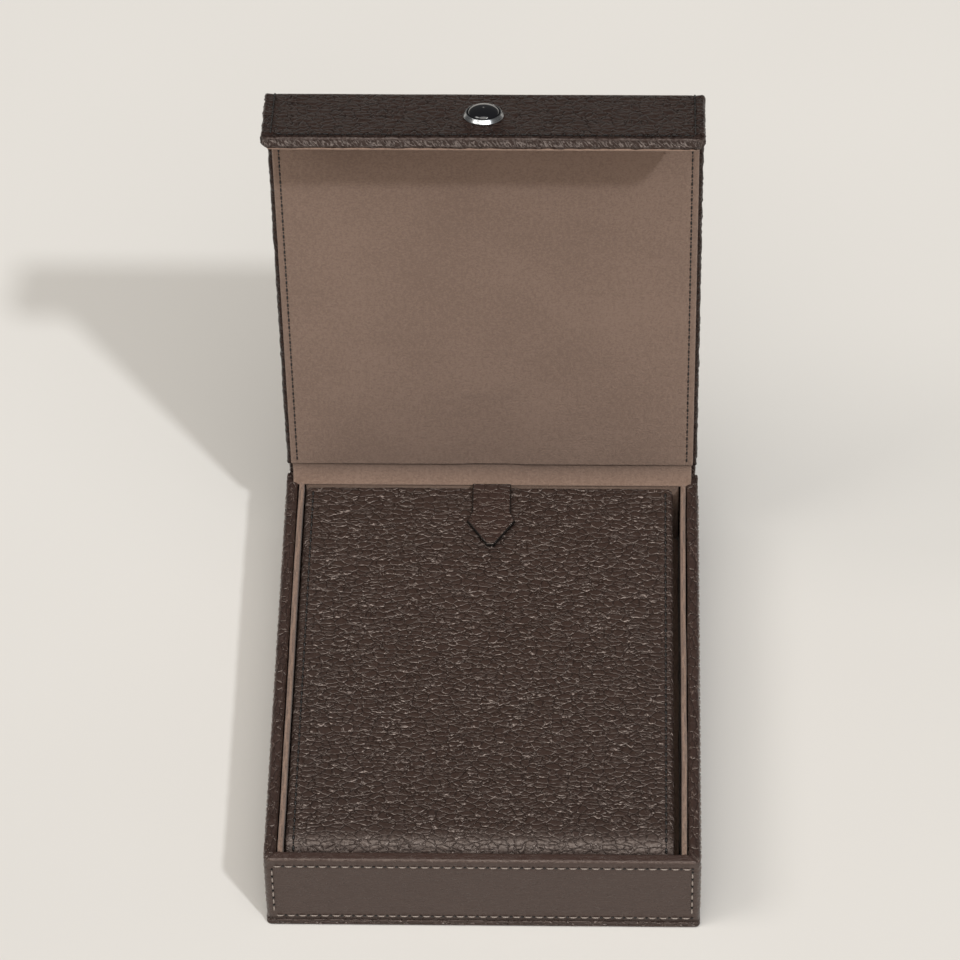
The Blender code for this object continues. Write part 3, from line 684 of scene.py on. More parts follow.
@dataclass(frozen=True)
class GrainLeather(Finish):
    """Shrunken calf leather: wide low pebbles between narrow steep creases, smoother where it is pressed.

    Attributes:
        base: Colour of the leather.
        rim: Colour of the painted highlight on a pebble's lit lip, on the side that faces along the sheet,
        and of wear along edges.
        cell: Width and length of one pebble, in millimetres.
        relief: Height of the pebbles, in millimetres.
        slit: Width of a crease's slope, as a share of a pebble.
        domed: How far a pebble's height comes from its dome.
        lip_highlight: How far the painted highlight on the pebbles' lit lips shows.
        dark: How far painted shade darkens the slope of a crease that faces away from the light.
        shine: The specular level.
        tint: Colour of its shine.
        gloss: Roughness in the creases and on the pebbles.
    """

    base: Colour = (0.0405, 0.0240, 0.0202)
    rim: Colour = (0.270, 0.205, 0.175)
    cell: tuple[float, float] = (5.4, 2.5)
    relief: float = 0.55
    slit: float = 0.12
    domed: float = 0.18
    lip_highlight: float = 0.45
    dark: float = 0.5
    shine: float = 0.66
    tint: Colour = (1.0, 0.86, 0.77)
    gloss: tuple[float, float] = (0.26, 0.37)

    def made(self) -> bpy.types.Material:
        """Return the leather's material."""
        return self.shaded().material

    def grain(self, s: Shader, place: Socket) -> tuple[Socket, Socket, Socket]:
        """Work out the pebbles: wide cells, patches of smaller ones, and pores over both.

        Args:
            s: The shader to add to.
            place: The place in millimetres.

        Returns:
            The height, the share up a crease's slope, and the share of the way to a pebble's lit side, which
            takes painted highlight.
        """
        large, fine, pore = 0.46, 0.18, 0.08
        bent = s.warped(s.warped(place, 0.14, 2.4), 0.50, 1.15)
        wide, long = 1 / self.cell[0], 1 / self.cell[1]
        pebbles = s.stretched(bent, (wide, long, long))
        border = s.border(pebbles)
        minor = s.border(s.stretched(bent, (wide * 2.0, long * 1.9, long * 1.9)))
        slit = s.eased(border, 0.0, self.slit)
        patchy = s.eased(s.noise(place, 0.16), 0.42, 0.62)
        small = s.times(s.eased(minor, 0.0, 0.14), patchy)
        pores = s.noise(place, 2.6, 3.0, 0.6)
        height = s.maths("MULTIPLY_ADD", slit, large, s.times(s.eased(border, 0.0, 0.5), self.domed))
        height = s.maths("MULTIPLY_ADD", small, fine, s.maths("MULTIPLY_ADD", pores, pore, height))
        return height, slit, s.eased(s.off_centre(pebbles), 0.0, 0.30)

    def wrinkles(self, s: Shader, place: Socket) -> Socket:
        """Work out pressed leather: a level face with fine wrinkles that run across the sheet.

        Args:
            s: The shader to add to.
            place: The place in millimetres.

        Returns:
            The height.
        """
        level, depth = 0.62, 0.09
        lines = s.noise(s.stretched(s.warped(place, 0.10, 3.0), (0.10, 1.15, 1.15)), 1.0, 2.0, 0.55)
        folds = s.eased(s.maths("ABSOLUTE", s.maths("SUBTRACT", lines, 0.5)), 0.0, 0.05)
        return s.maths("MULTIPLY_ADD", folds, depth, level)

    def ridges(self, s: Shader, place: Socket) -> Socket:
        """Work out slanting ridges, like those of leather turned round an edge.

        Args:
            s: The shader to add to.
            place: The place in millimetres.

        Returns:
            The height.
        """
        slant = s.add("Mapping")
        slant.inputs["Rotation"].default_value = (0.0, 0.0, 0.62)
        s.join(s.warped(place, 0.3, 0.8), slant.inputs["Vector"])
        lines = s.noise(s.stretched(slant.outputs["Vector"], (0.85, 0.22, 0.22)), 1.0, 2.0, 0.6)
        return s.eased(lines, 0.36, 0.60)

    def shaded(self) -> Shader:
        """Make leather whose relief is its grain, fine wrinkles where pressed and ridges where turned.

        Its colour takes painted shade on the slope of each crease that faces away from the light, and
        painted highlight in the rim's colour on the lit slope and on the flanks of the ridges; where the mask
        marks the edges, the rim's colour is wear and painted highlight together.

        Returns:
            The shader, with its colour and roughness linked.
        """
        clouded, flattened, shadowed = (toned(self.base, factor) for factor in (1.12, 1.30, 0.4))
        s = Shader(self.name)
        place = s.place(Pattern.SHEET)
        grained, slit, lit_side = self.grain(s, place)
        ridges, pressed, turned = self.ridges(s, place), s.mask("pressed"), s.mask("turned")
        plain = s.rest(s.maths("MAXIMUM", pressed, turned))
        height = s.maths("MULTIPLY_ADD", grained, plain, s.times(self.wrinkles(s, place), pressed))
        s.raised(s.maths("MULTIPLY_ADD", ridges, turned, height), self.relief)
        open_slit = s.times(s.rest(slit), plain)
        cloudy = s.eased(s.noise(place, 0.05, 3.0, 0.6), 0.3, 0.7)
        body = s.mixed(pressed, s.mixed(cloudy, self.base, clouded), flattened)
        # Painted shade: the slope of each crease that faces away from the light darkens to the shadowed
        # colour.
        body = s.mixed(s.times(open_slit, s.rest(lit_side), self.dark), body, shadowed)
        # Painted highlight: the lit lip of each crease takes the rim's colour, broken by noise.
        broken = s.eased(s.noise(place, 0.55, 2.0), 0.39, 0.57)
        lip = s.times(slit, open_slit, 4.0, broken, s.times(lit_side, self.lip_highlight))
        # Painted highlight in the rim's colour on the flanks of the ridges where the leather is turned.
        ridge_highlight = s.times(s.eased(s.times(s.rest(ridges), ridges), 0.10, 0.25, 0.07, 0.60), turned)
        # Wear and painted highlight in the rim's colour where the mask marks the edges.
        rubbed = s.times(s.mask("rubbed"), s.eased(s.noise(place, 0.9, 3.0), 0.35, 0.65, 0.12, 0.55))
        lip = s.maths("MAXIMUM", s.maths("MAXIMUM", lip, ridge_highlight), rubbed)
        s.feed(base_color=s.mixed(lip, body, self.rim), roughness=s.eased(slit, 0.0, 1.0, *self.gloss))
        s.set(specular_ior_level=self.shine, specular_tint=self.tint)
        return s


@dataclass(frozen=True)
class Suede(Finish):
    """Taupe suede: a short even nap with fine fibres, brushed one way in faint clouds.

    Attributes:
        base: Colour of the nap brushed down.
        light: Colour of the nap brushed up.
    """

    base: Colour = (0.262, 0.171, 0.127)
    light: Colour = (0.335, 0.224, 0.169)

    def made(self) -> bpy.types.Material:
        """Make suede whose colour and relief come from fibres, brush strokes and slow clouds.

        Returns:
            The new material.
        """
        s = Shader(self.name)
        place = s.place(Pattern.SHEET)
        clouds = s.noise(s.warped(place, 0.05, 14.0), 0.022, 2.0, 0.5)
        strokes = s.noise(s.stretched(place, (1.0, 0.5, 0.5)), 0.55, 3.0, 0.65)
        fibres = s.noise(place, 0.95, 4.0, 0.75)
        tone = s.maths("MULTIPLY_ADD", strokes, 0.28, s.times(fibres, 0.52))
        tone = s.maths("MULTIPLY_ADD", clouds, 0.20, tone)
        s.feed(base_color=s.mixed(s.eased(tone, 0.41, 0.59), self.base, self.light))
        s.raised(s.maths("MULTIPLY_ADD", strokes, 0.45, fibres), 0.40)
        s.set(roughness=0.97, specular_ior_level=0.1, sheen_weight=0.18, sheen_roughness=0.6)
        return s.material


@dataclass(frozen=True)
class Thread(Finish):
    """Waxed linen thread with a twist, near black where it marks a stitch hole: painted shade of the hole.

    Attributes:
        base: Colour of the thread.
        hole: Colour of the painted shade in a stitch hole.
    """

    base: Colour
    hole: Colour = (0.008, 0.006, 0.005)

    def made(self) -> bpy.types.Material:
        """Make thread whose two plies are a sine along its length and round it.

        Returns:
            The new material.
        """
        turns = 9.0
        s = Shader(self.name)
        split = s.add("SeparateXYZ")
        s.join(s.place(Pattern.SHEET), split.inputs[0])
        twist = s.maths("SINE", s.maths("MULTIPLY_ADD", split.outputs[0], turns, split.outputs[1]))
        ply = s.eased(twist, -1.0, 1.0)
        # Painted shade: the groove between the two plies darkens the colour to six tenths.
        shade = s.mixed(ply, toned(self.base, 0.6), self.base)
        # Painted shade of a stitch hole where the hole mask says so.
        s.feed(base_color=s.mixed(s.mask("hole"), shade, self.hole))
        s.raised(ply, 0.08)
        s.set(roughness=0.34, specular_ior_level=0.5)
        return s.material


@dataclass(frozen=True)
class EdgePaint(GrainLeather):
    """Grained leather whose cut edges are painted black.

    Attributes:
        paint: Colour of the paint.
    """

    paint: Colour = (0.0065, 0.0068, 0.0070)

    def made(self) -> bpy.types.Material:
        """Make the leather, with its colour and gloss turned to the paint's where the edge mask says so.

        Returns:
            The new material.
        """
        s = self.shaded()
        edge = s.mask("edge")
        colour, rough = (s.surface.inputs[name].links[0].from_socket for name in ("Base Color", "Roughness"))
        glossy = s.maths("MULTIPLY_ADD", edge, -0.35, 1.0)
        s.feed(base_color=s.mixed(edge, colour, self.paint), roughness=s.times(rough, glossy))
        return s.material


@dataclass(frozen=True)
class Chrome(Finish):
    """Polished chrome with faint turning lines round it."""

    base: Colour = (0.52, 0.53, 0.54)

    def made(self) -> bpy.types.Material:
        """Make chrome whose roughness and relief vary with the distance from its axis.

        Returns:
            The new material.
        """
        s = Shader(self.name)
        rings = s.noise(s.stretched(s.place(Pattern.SHEET), (0.04, 9.0, 1.0)), 1.0, 2.0)
        s.feed(roughness=s.eased(rings, 0.3, 0.7, 0.20, 0.30))
        s.raised(rings, 0.004)
        s.set(base_color=self.base, metallic=1.0)
        return s.material


@dataclass(frozen=True)
class Enamel(Finish):
    """Deep black enamel under a clear coat, with a slight haze."""

    base: Colour = (0.006, 0.006, 0.008)

    def made(self) -> bpy.types.Material:
        """Make enamel whose roughness changes a little in soft patches.

        Returns:
            The new material.
        """
        s = Shader(self.name)
        place = s.place(Pattern.SHEET)
        s.feed(roughness=s.eased(s.noise(place, 0.6, 3.0), 0.35, 0.65, 0.05, 0.12))
        s.raised(s.noise(place, 1.5), 0.006)
        s.set(base_color=self.base, coat_weight=0.6, coat_roughness=0.05)
        return s.material


@dataclass(frozen=True)
class Board(Finish):
    """Grey bookbinding board with fibres."""

    base: Colour = (0.20, 0.18, 0.16)

    def made(self) -> bpy.types.Material:
        """Make board speckled by fibres that lie along it.

        Returns:
            The new material.
        """
        s = Shader(self.name)
        fibres = s.noise(s.stretched(s.place(Pattern.SOLID), (0.5, 2.5, 2.5)), 1.2, 4.0, 0.65)
        s.feed(base_color=s.mixed(s.eased(fibres, 0.35, 0.65), toned(self.base, 0.75), self.base))
        s.raised(fibres, 0.10)
        s.set(roughness=0.88)
        return s.material


@dataclass(frozen=True)
class DullSteel(Finish):
    """Plain steel with a rolled finish."""

    base: Colour = (0.42, 0.42, 0.43)

    def made(self) -> bpy.types.Material:
        """Make steel with long rolling marks in its roughness and relief.

        Returns:
            The new material.
        """
        s = Shader(self.name)
        marks = s.noise(s.stretched(s.place(Pattern.SOLID), (0.3, 6.0, 6.0)), 1.0, 3.0)
        s.feed(roughness=s.eased(marks, 0.3, 0.7, 0.32, 0.50))
        s.raised(marks, 0.01)
        s.set(base_color=self.base, metallic=1.0)
        return s.material


@dataclass(frozen=True)
class Paper(Finish):
    """Pale studio floor."""

    base: Colour = (0.800, 0.770, 0.730)

    def made(self) -> bpy.types.Material:
        """Make a matt floor with the slightest clouding.

        Returns:
            The new material.
        """
        s = Shader(self.name)
        clouds = s.noise(s.place(Pattern.SOLID), 0.003, 2.0)
        s.feed(base_color=s.mixed(s.eased(clouds, 0.3, 0.7), toned(self.base, 0.97), self.base))
        s.set(roughness=0.9, specular_ior_level=0.1)
        return s.material


LEATHER = GrainLeather("shrunken_calf")
LID_LEATHER = GrainLeather(
    "lid_calf", (0.0310, 0.0176, 0.0142), (0.360, 0.298, 0.270), (3.8, 2.6), slit=0.16, domed=0.42,
    lip_highlight=0.07, dark=0.8, shine=0.20,
)
COVER_LEATHER = GrainLeather(
    "cover_calf", (0.0382, 0.0238, 0.0197), (0.350, 0.285, 0.255), (4.4, 2.4), relief=0.80, slit=0.11,
    lip_highlight=0.95,
)
SUEDE = Suede("brushed_suede")
THREAD = Thread("waxed_thread", (0.013, 0.010, 0.009))
# Light thread for the case's stitches: its colour is partly the thread's own and partly painted highlight of
# their glints.
BRIGHT_THREAD = Thread("bright_thread", (0.46, 0.38, 0.33))


# Sheets and panels


@dataclass(frozen=True)
class Fold:
    """A rounded corner that carries a flat sheet from a level part, along -Y, to a part that drops.

    Along the sheet v is below zero on the level part, then the turn over the radius, then the drop.

    Attributes:
        axis: The corner's axis as y and z.
        radius: The outer face's radius.
        swing: The angle that the sheet turns by.
        least: The smallest radius that an inner face keeps.
    """

    axis: Point
    radius: float
    swing: float = math.pi / 2
    least: float = 0.8

    @property
    def turn(self) -> float:
        """Return the length of the turn on the outer face."""
        return self.radius * self.swing

    @property
    def ends(self) -> Array:
        """Work out two places either side of the axis, between which a piece bends over the corner.

        Returns:
            The two places, 2 by 3.
        """
        half = self.swing / 2
        way = np.array([0, -math.cos(half), -math.sin(half)]) * self.radius * math.sqrt(0.5)
        middle = np.array([0, *self.axis])
        return np.stack([middle - way, middle + way])

    def place(self, points: Array) -> Array:
        """Carry flat points over the corner.

        Where the depth leaves less than the least radius, the corner's centre moves inwards along the
        line that halves the corner instead, and the level and dropped parts give way over a few millimetres.

        Args:
            points: Flat points, N by 3.

        Returns:
            Their places, N by 3.
        """
        x, v, depth = points[:, 0], points[:, 1], points[:, 2]
        radius = np.maximum(self.radius - depth, self.least)
        shift = np.maximum(0.0, depth - self.radius + self.least)
        lean, fade = math.tan(self.swing / 2), 8.0
        after = np.maximum(v - self.turn, 0.0)
        angle = math.pi / 2 + self.swing * np.clip(v / self.turn, 0, 1)
        y = shift * lean + radius * np.cos(angle)
        z = radius * np.sin(angle) - shift
        ahead = after + lean * shift * np.exp(-after / fade)
        cosine, sine = math.cos(self.swing), math.sin(self.swing)
        on_drop, on_level = v > self.turn, v < 0
        y = np.where(on_drop, -sine * (self.radius - depth) - cosine * ahead, y)
        z = np.where(on_drop, cosine * (self.radius - depth) - sine * ahead, z)
        y = np.where(on_level, -v + lean * shift * np.exp(np.minimum(v, 0) / fade), y)
        z = np.where(on_level, self.radius - depth, z)
        return np.stack([x, self.axis[0] + y, self.axis[1] + z], axis=-1)


@dataclass(frozen=True)
class Panel:
    """A rounded slab in its flat plane, whose outer face is at depth 0.

    Attributes:
        half: Half its width.
        near: Where it starts along v.
        far: Where it ends along v.
        thick: Its thickness.
        edge: Radius of its rounded edges.
        corner: Radius of its corners in plan.
        ends: Which ends have rounded corners and edges, as near and far; a plain end is square.
        step: Spacing of the points away from the edges.
        wrinkle: Height of the creases across its turned edges.
        skew: How far those creases lean.
        seed: Which noise shapes it.
    """

    half: float
    near: float
    far: float
    thick: float
    edge: float
    corner: float
    ends: tuple[bool, bool] = (False, True)
    step: float = 2.0
    wrinkle: float = 0.10
    skew: float = 0.0
    seed: float = 1.0

    def inside(self, x: Array, v: Array) -> tuple[Array, Array, Array]:
        """Work out how far points lie inside the outline.

        The distance is that of a rounded rectangle: the corner's radius less the length of what
        sticks out past the rectangle that the corners' centres span.

        Args:
            x: Position across the sheet.
            v: Position along the sheet.

        Returns:
            The distance, and x and v of the outline's outward direction there.
        """
        plain = np.full_like(v, -1e6)
        far = v - (self.far - self.corner) if self.ends[1] else plain
        near = (self.near + self.corner) - v if self.ends[0] else plain
        across = np.abs(x) - (self.half - self.corner)
        along = np.maximum(far, near)
        out = np.hypot(np.maximum(across, 0), np.maximum(along, 0))
        gap = self.corner - out - np.minimum(np.maximum(across, along), 0)
        corner = (across > 0) & (along > 0)
        safe = np.where(out > 0, out, 1)
        sides = across >= along
        nx = np.where(corner, across / safe, np.where(sides, 1.0, 0.0)) * np.sign(x)
        nv = np.where(corner, along / safe, np.where(sides, 0.0, 1.0)) * np.where(far > near, 1.0, -1.0)
        return np.maximum(gap, 0), nx, nv

    def rows(self) -> Array:
        """Return where its rows lie along v."""
        return stations(self.near, self.far, self.step, 0.45, max(self.corner, 2.5) + 1.2)

    def grid(self) -> tuple[Array, Array]:
        """Lay a grid whose rows shrink to the outline's width at the rounded ends.

        Returns:
            x and v of its points, rows by columns.
        """
        v = self.rows()
        share = stations(-self.half, self.half, self.step, 0.4, 5.0) / self.half
        past = np.zeros_like(v)
        if self.ends[1]:
            past = np.maximum(past, v - (self.far - self.corner))
        if self.ends[0]:
            past = np.maximum(past, self.near + self.corner - v)
        width = self.half - self.corner + np.sqrt(np.maximum(self.corner**2 - past**2, 0))
        return width[:, None] * share[None, :], np.repeat(v[:, None], len(share), axis=1)

    def depth_at(self, v: Array) -> Array:
        """Return the slab's thickness along v."""
        return np.full_like(v, self.thick)

    def swell(self, x: Array, v: Array, gap: Array) -> Array:
        """Return how far the outer face stands out of its plane, apart from its wrinkles."""
        return 0.04 * soft_noise(x / 15, v / 15, self.seed + 3) * smooth_step(gap, 1, 8)

    def creases(self, x: Array, v: Array, normal: Mapped, across: Array, gap: Array) -> Array:
        """Work out creases that run across the edge: noise that is short along it and long over it.

        Args:
            x: Position across the sheet.
            v: Position along the sheet.
            normal: x and v of the outline's outward direction.
            across: Position over the edge.
            gap: Distance inside the outline.

        Returns:
            How far they stand out.
        """
        along = x * normal[1] - v * normal[0] + self.skew * across
        fine = soft_noise(along / 1.15, across / 5, self.seed)
        broad = soft_noise(along / 4.3, across / 9, self.seed + 1)
        return self.wrinkle * (0.65 * fine + 0.35 * broad) * bell(gap, 1.9)

    def face(self, x: Array, v: Array, inner: bool) -> Mapped:
        """Work out the outer or the inner face, which turns down in a quarter circle at the outline.

        Args:
            x: Position across the sheet.
            v: Position along the sheet.
            inner: Whether this is the inner face.

        Returns:
            Its points and its flat coordinates.
        """
        gap, nx, nv = self.inside(x, v)
        thick = self.depth_at(v)
        edge = np.minimum(self.edge, thick / 2)
        lean = np.clip(1 - gap / edge, 0, 1)
        drop = edge * (1 - np.sqrt(1 - lean**2))
        level = np.sqrt(1 - lean**2)
        if inner:
            push = self.creases(x, v, (nx, nv), 2 * edge + thick + gap, gap)
            depth = thick - drop + level * push
            reach = 2 * edge * (math.pi / 2 - 1) + thick + 2 * gap - edge * (np.arcsin(lean) - lean)
        else:
            push = self.creases(x, v, (nx, nv), -gap, gap) + self.swell(x, v, gap)
            depth = drop - level * push
            reach = edge * (np.arcsin(lean) - lean)
        points = np.stack([x + nx * lean * push, v + nv * lean * push, depth], axis=-1)
        return points, np.stack([x + nx * reach, v + nv * reach], axis=-1)

    def side(self, x: Array, v: Array, rings: int) -> list[Mapped]:
        """Lay rings of points down the upright part of the edge.

        Args:
            x: Position across the sheet of the grid's points.
            v: Their position along it.
            rings: How many rings.

        Returns:
            The points and flat coordinates of each ring.
        """
        edge_line = perimeter(*x.shape)
        x, v = x.ravel()[edge_line], v.ravel()[edge_line]
        gap, nx, nv = self.inside(x, v)
        plain = gap > 0.01
        nx, nv = np.where(plain, 0.0, nx), np.where(plain, 0.0, nv)
        thick = self.depth_at(v)
        edge = np.where(plain, 0.0, np.minimum(self.edge, thick / 2))
        found = []
        for share in (np.arange(rings) + 1) / (rings + 1):
            depth = edge + (thick - 2 * edge) * share
            push = self.creases(x, v, (nx, nv), depth, gap) + self.welt(depth)
            reach = edge * (math.pi / 2 - 1) + depth - edge
            points = np.stack([x + nx * push, v + nv * push, depth], axis=-1)
            found.append((points, np.stack([x + nx * reach, v + nv * reach], axis=-1)))
        return found

    def welt(self, depth: Array) -> Array:
        """Return how far the upright edge stands out at a depth."""
        return np.zeros_like(depth)

    def patch(self, rings: int = 3) -> Patch:
        """Close the slab in its flat plane.

        Args:
            rings: How many rings of points its upright edge has.

        Returns:
            The closed slab.
        """
        x, v = self.grid()
        outer, inner = self.face(x, v, False), self.face(x, v, True)
        return sheet_patch(outer[0], inner[0], (outer[1], inner[1]), self.side(x, v, rings))


@dataclass(frozen=True)
class Seam:
    """One straight row of stitches in a flat plane.

    Attributes:
        start: Where it starts, as x and v.
        end: Where it ends.
        pitch: Distance between stitches.
        depth: Depth of the face that it lies on.
        side: -1 on an outer face, 1 on an inner face.
        thread: How long a thread shows, as a share of the pitch.
        hole: Radius of a stitch hole.
        bar: Radius of the thread.
    """

    start: Point
    end: Point
    pitch: float = 4.4
    depth: float = 0.0
    side: float = -1.0
    thread: float = 0.70
    hole: float = 0.42
    bar: float = 0.32

    def bars(self, shift: float, length: float, radius: float, rise: float, hole: float) -> Patch:
        """Lay a short bar at every stitch: six-sided rings along it, high in the middle, low at its ends.

        Args:
            shift: How far the bars are moved along, as a share of the pitch.
            length: Length of a bar.
            radius: Its radius.
            rise: How far its middle stands out.
            hole: What the hole mask says on it.

        Returns:
            All the bars as one patch.
        """
        sides, rings = 6, 5
        start, end = np.array(self.start), np.array(self.end)
        span = float(np.hypot(*(end - start)))
        count = max(1, round(span / self.pitch))
        way = (end - start) / span
        centres = start + (np.arange(count)[:, None] + 0.5 + shift) * span / count * way
        s = np.linspace(-1, 1, rings)
        turn = np.arange(sides) * math.pi / (sides / 2)
        size = np.sqrt(1.02 - s**4)[:, None]
        along = np.repeat((s * length / 2)[:, None], sides, axis=1)
        across = radius * size * np.cos(turn)
        up = rise * (1 - s[:, None] ** 4) - 0.16 + 0.75 * radius * size * np.sin(turn)
        flat = np.stack([along, np.broadcast_to(turn, along.shape)], axis=-1).reshape(-1, 2)
        along, across, up = along.ravel(), across.ravel(), up.ravel()
        lift = np.broadcast_to(self.depth + self.side * up, (count, len(up)))
        x = centres[:, :1] + along * way[0] - across * way[1]
        v = centres[:, 1:] + along * way[1] + across * way[0]
        points = np.stack([x, v, lift], axis=-1).reshape(-1, 3)
        here = np.arange(sides)
        after = np.roll(here, -1)
        band = np.stack([here, after, after + sides, here + sides], axis=-1)
        faces = [band + sides * k for k in range(rings - 1)]
        faces.append(np.array([[0, 3, 2, 1], [0, 5, 4, 3], [24, 25, 26, 27], [24, 27, 28, 29]]))
        first = sides * rings * np.arange(count)
        every = (np.concatenate(faces)[None] + first[:, None, None]).reshape(-1, 4)
        if self.side < 0:
            every = every[:, ::-1]
        return Patch(points, every, np.tile(flat, (count, 1)), {"hole": np.full(len(points), hole)})

    def patch(self) -> Patch:
        """Lay the row's threads and, between them, its holes: near-black bars of painted shade.

        Returns:
            Both as one patch.
        """
        thread = self.bars(0.0, self.pitch * self.thread, self.bar, 0.36, 0.0)
        holes = self.bars(0.5, self.pitch * (0.98 - self.thread), self.hole, 0.13, 1.0)
        return joined([thread, holes])


def make_seams(name: str, seams: list[Seam], place: Place, finish: Thread = THREAD) -> bpy.types.Object:
    """Return rows of stitches as one piece, carried to their place with their sheet."""
    patch = joined([seam.patch() for seam in seams]).placed(place)
    return make_piece(name, patch, finish, "dark_leather")


# Case


@dataclass(frozen=True)
class Wall:
    """The leather over one U of walls: up outside, over the top and down inside.

    Along the U, s is 0 at its middle. Its corners are rounded, and an inner face keeps a least radius.

    Attributes:
        half: Half the case's width.
        line: Where the U's middle part stands, as a distance from the case's middle.
        reach: How far its arms run from the middle part's outer face.
        foot: Height of its lower edge.
        top: Height of its upper edge.
        thick: Thickness of the whole wall.
        leather: Thickness of the leather.
        edge: Radius of the two turns at the top, outside and inside.
        mirrored: Whether the U stands at the back.
        corner: Radius of its corners in plan.
        rows: How far the stitched rows lie from the foot and from the top.
        columns: How far the stitched columns lie from the front's corners, past them on the arms and from
            the arms' ends.
    """

    half: float = SIZES.half
    line: float = SIZES.line
    reach: float = SIZES.depth - 8.3
    foot: float = 3.3
    top: float = SIZES.height
    thick: float = SIZES.wall
    leather: float = SIZES.leather
    edge: tuple[float, float] = (1.2, 1.6)
    mirrored: bool = False
    corner: float = 2.0
    rows: tuple[float, float] = (2.2, 4.2)
    columns: tuple[float, float, float] = (3.1, 2.4, 3.0)

    @property
    def bend(self) -> Point:
        """Return where a corner starts along s, and the length of its turn."""
        return self.half - self.corner, self.corner * math.pi / 2

    @property
    def length(self) -> float:
        """Return how far s runs to each side."""
        flat, turn = self.bend
        return flat + turn + self.reach - self.corner

    @property
    def lines(self) -> tuple[float, float, float]:
        """Return where the stitched columns stand along s: one on the middle part and two on an arm."""
        front, start, end = self.columns
        return self.half - front, sum(self.bend) + start, self.length - end

    def at(self, s: Array, inset: Array) -> tuple[Array, Array]:
        """Carry a place from the unrolled U to the floor plan.

        Args:
            s: Position along the U.
            inset: Distance inside its outer face.

        Returns:
            x and y.
        """
        (flat, turn), least, fade = self.bend, 0.7, 6.0
        radius = np.maximum(self.corner - inset, least)
        shift = np.maximum(0.0, inset - self.corner + least)
        far = np.abs(s)
        angle = np.clip((far - flat) / turn, 0, 1) * math.pi / 2
        x = flat - shift + radius * np.sin(angle)
        y = self.corner + shift - radius * np.cos(angle)
        before = flat - far
        x = np.where(before > 0, far - shift * np.exp(-np.maximum(before, 0) / fade), x)
        y = np.where(before > 0, inset, y)
        after = far - flat - turn
        y = np.where(after > 0, self.corner + after + shift * np.exp(-np.maximum(after, 0) / fade), y)
        x = np.where(after > 0, self.half - inset, x)
        y = y - self.line
        return np.sign(s) * x, -y if self.mirrored else y

    def profile(self, depth: float) -> tuple[Array, Array, Array]:
        """Work out the wall's section: up outside, over the top and down inside.

        Args:
            depth: How far it lies below the leather's face.

        Returns:
            The inset, the height and the length run so far, at each of its points.
        """
        outside, inside = self.edge
        share = np.concatenate([np.linspace(0, 1, 12)[:-1] * 0.8, np.linspace(0.8, 1, 8)])
        quarter = np.linspace(0, math.pi / 2, 7)
        first, last = quarter[1:], quarter[1:] - quarter[1]
        rise = self.foot + (self.top - outside - self.foot) * share
        fall = self.foot + (self.top - inside - self.foot) * share[::-1]
        flat = np.linspace(outside, self.thick - inside, 5)[1:-1]
        insets = [
            np.full_like(rise, depth),
            outside - (outside - depth) * np.cos(first),
            flat,
            self.thick - inside + (inside - depth) * np.sin(last),
            np.full_like(fall, self.thick - depth),
        ]
        heights = [
            rise,
            self.top - outside + (outside - depth) * np.sin(first),
            np.full_like(flat, self.top - depth),
            self.top - inside + (inside - depth) * np.cos(last),
            fall,
        ]
        inset, height = np.concatenate(insets), np.concatenate(heights)
        steps = np.hypot(np.diff(inset), np.diff(height))
        return inset, height, np.concatenate([[0], np.cumsum(steps)])

    def grooves(self, s: Array, height: Array) -> Array:
        """Work out how deep the stitch lines press the outer face: bells round each line.

        Args:
            s: Position along the U.
            height: Height above the floor.

        Returns:
            The depth.
        """
        far = np.abs(s)
        low = bell(height - self.foot - self.rows[0], 0.7)
        high = bell(height - self.top + self.rows[1], 0.7)
        upright = sum(bell(far - line, 0.7) for line in self.lines)
        between = smooth_step(height, self.foot + 1, self.foot + 2.4)
        between = between * (1 - smooth_step(height, self.top - 4.4, self.top - 3.6))
        return 0.20 * np.maximum(np.maximum(low, high), upright * between)

    def mitre(self, s: Array, height: Array) -> Array:
        """Work out the lumps where the leather is gathered at the corners, and the crease between them.

        Args:
            s: Position along the U.
            height: Height above the floor.

        Returns:
            How far they stand out.
        """
        flat, turn = self.bend
        off = np.abs(s) - flat - turn / 2
        lumps = 0.27 * bell(np.abs(off) - 2.6, 1.5) - 0.55 * bell(off, 0.55)
        return lumps * smooth_step(height, self.top - 3.0, self.top - 0.6)

    def relief(self, s: Array, inset: Array, height: Array, length: Array) -> Array:
        """Work out how far the outer face stands out.

        It wrinkles towards the top, less so on the front, lies a little uneven all over, bulges at the
        corners and sinks along the stitches.

        Args:
            s: Position along the U.
            inset: Distance inside the outer face.
            height: Height above the floor.
            length: Position over the wall's section.

        Returns:
            The distance.
        """
        front = 1 - smooth_step(np.abs(s), self.half - 5, self.half - 2)
        plain = front * (0.0 if self.mirrored else 1.0)
        top = smooth_step(height, self.top - 4.5, self.top - 0.8)
        fine = soft_noise(s / 1.2, length / 5, 2.0)
        broad = soft_noise(s / 4.6, length / 8, 5.0)
        wrinkled = top * ((0.30 - 0.20 * plain) * (0.6 * fine + 0.4 * broad) - 0.11)
        uneven = 0.05 * soft_noise(s / 13, length / 13, 8.0)
        on_face = smooth_step(-inset, -1.2, -0.1)
        return wrinkled + uneven + (self.mitre(s, height) - self.grooves(s, height) * on_face)

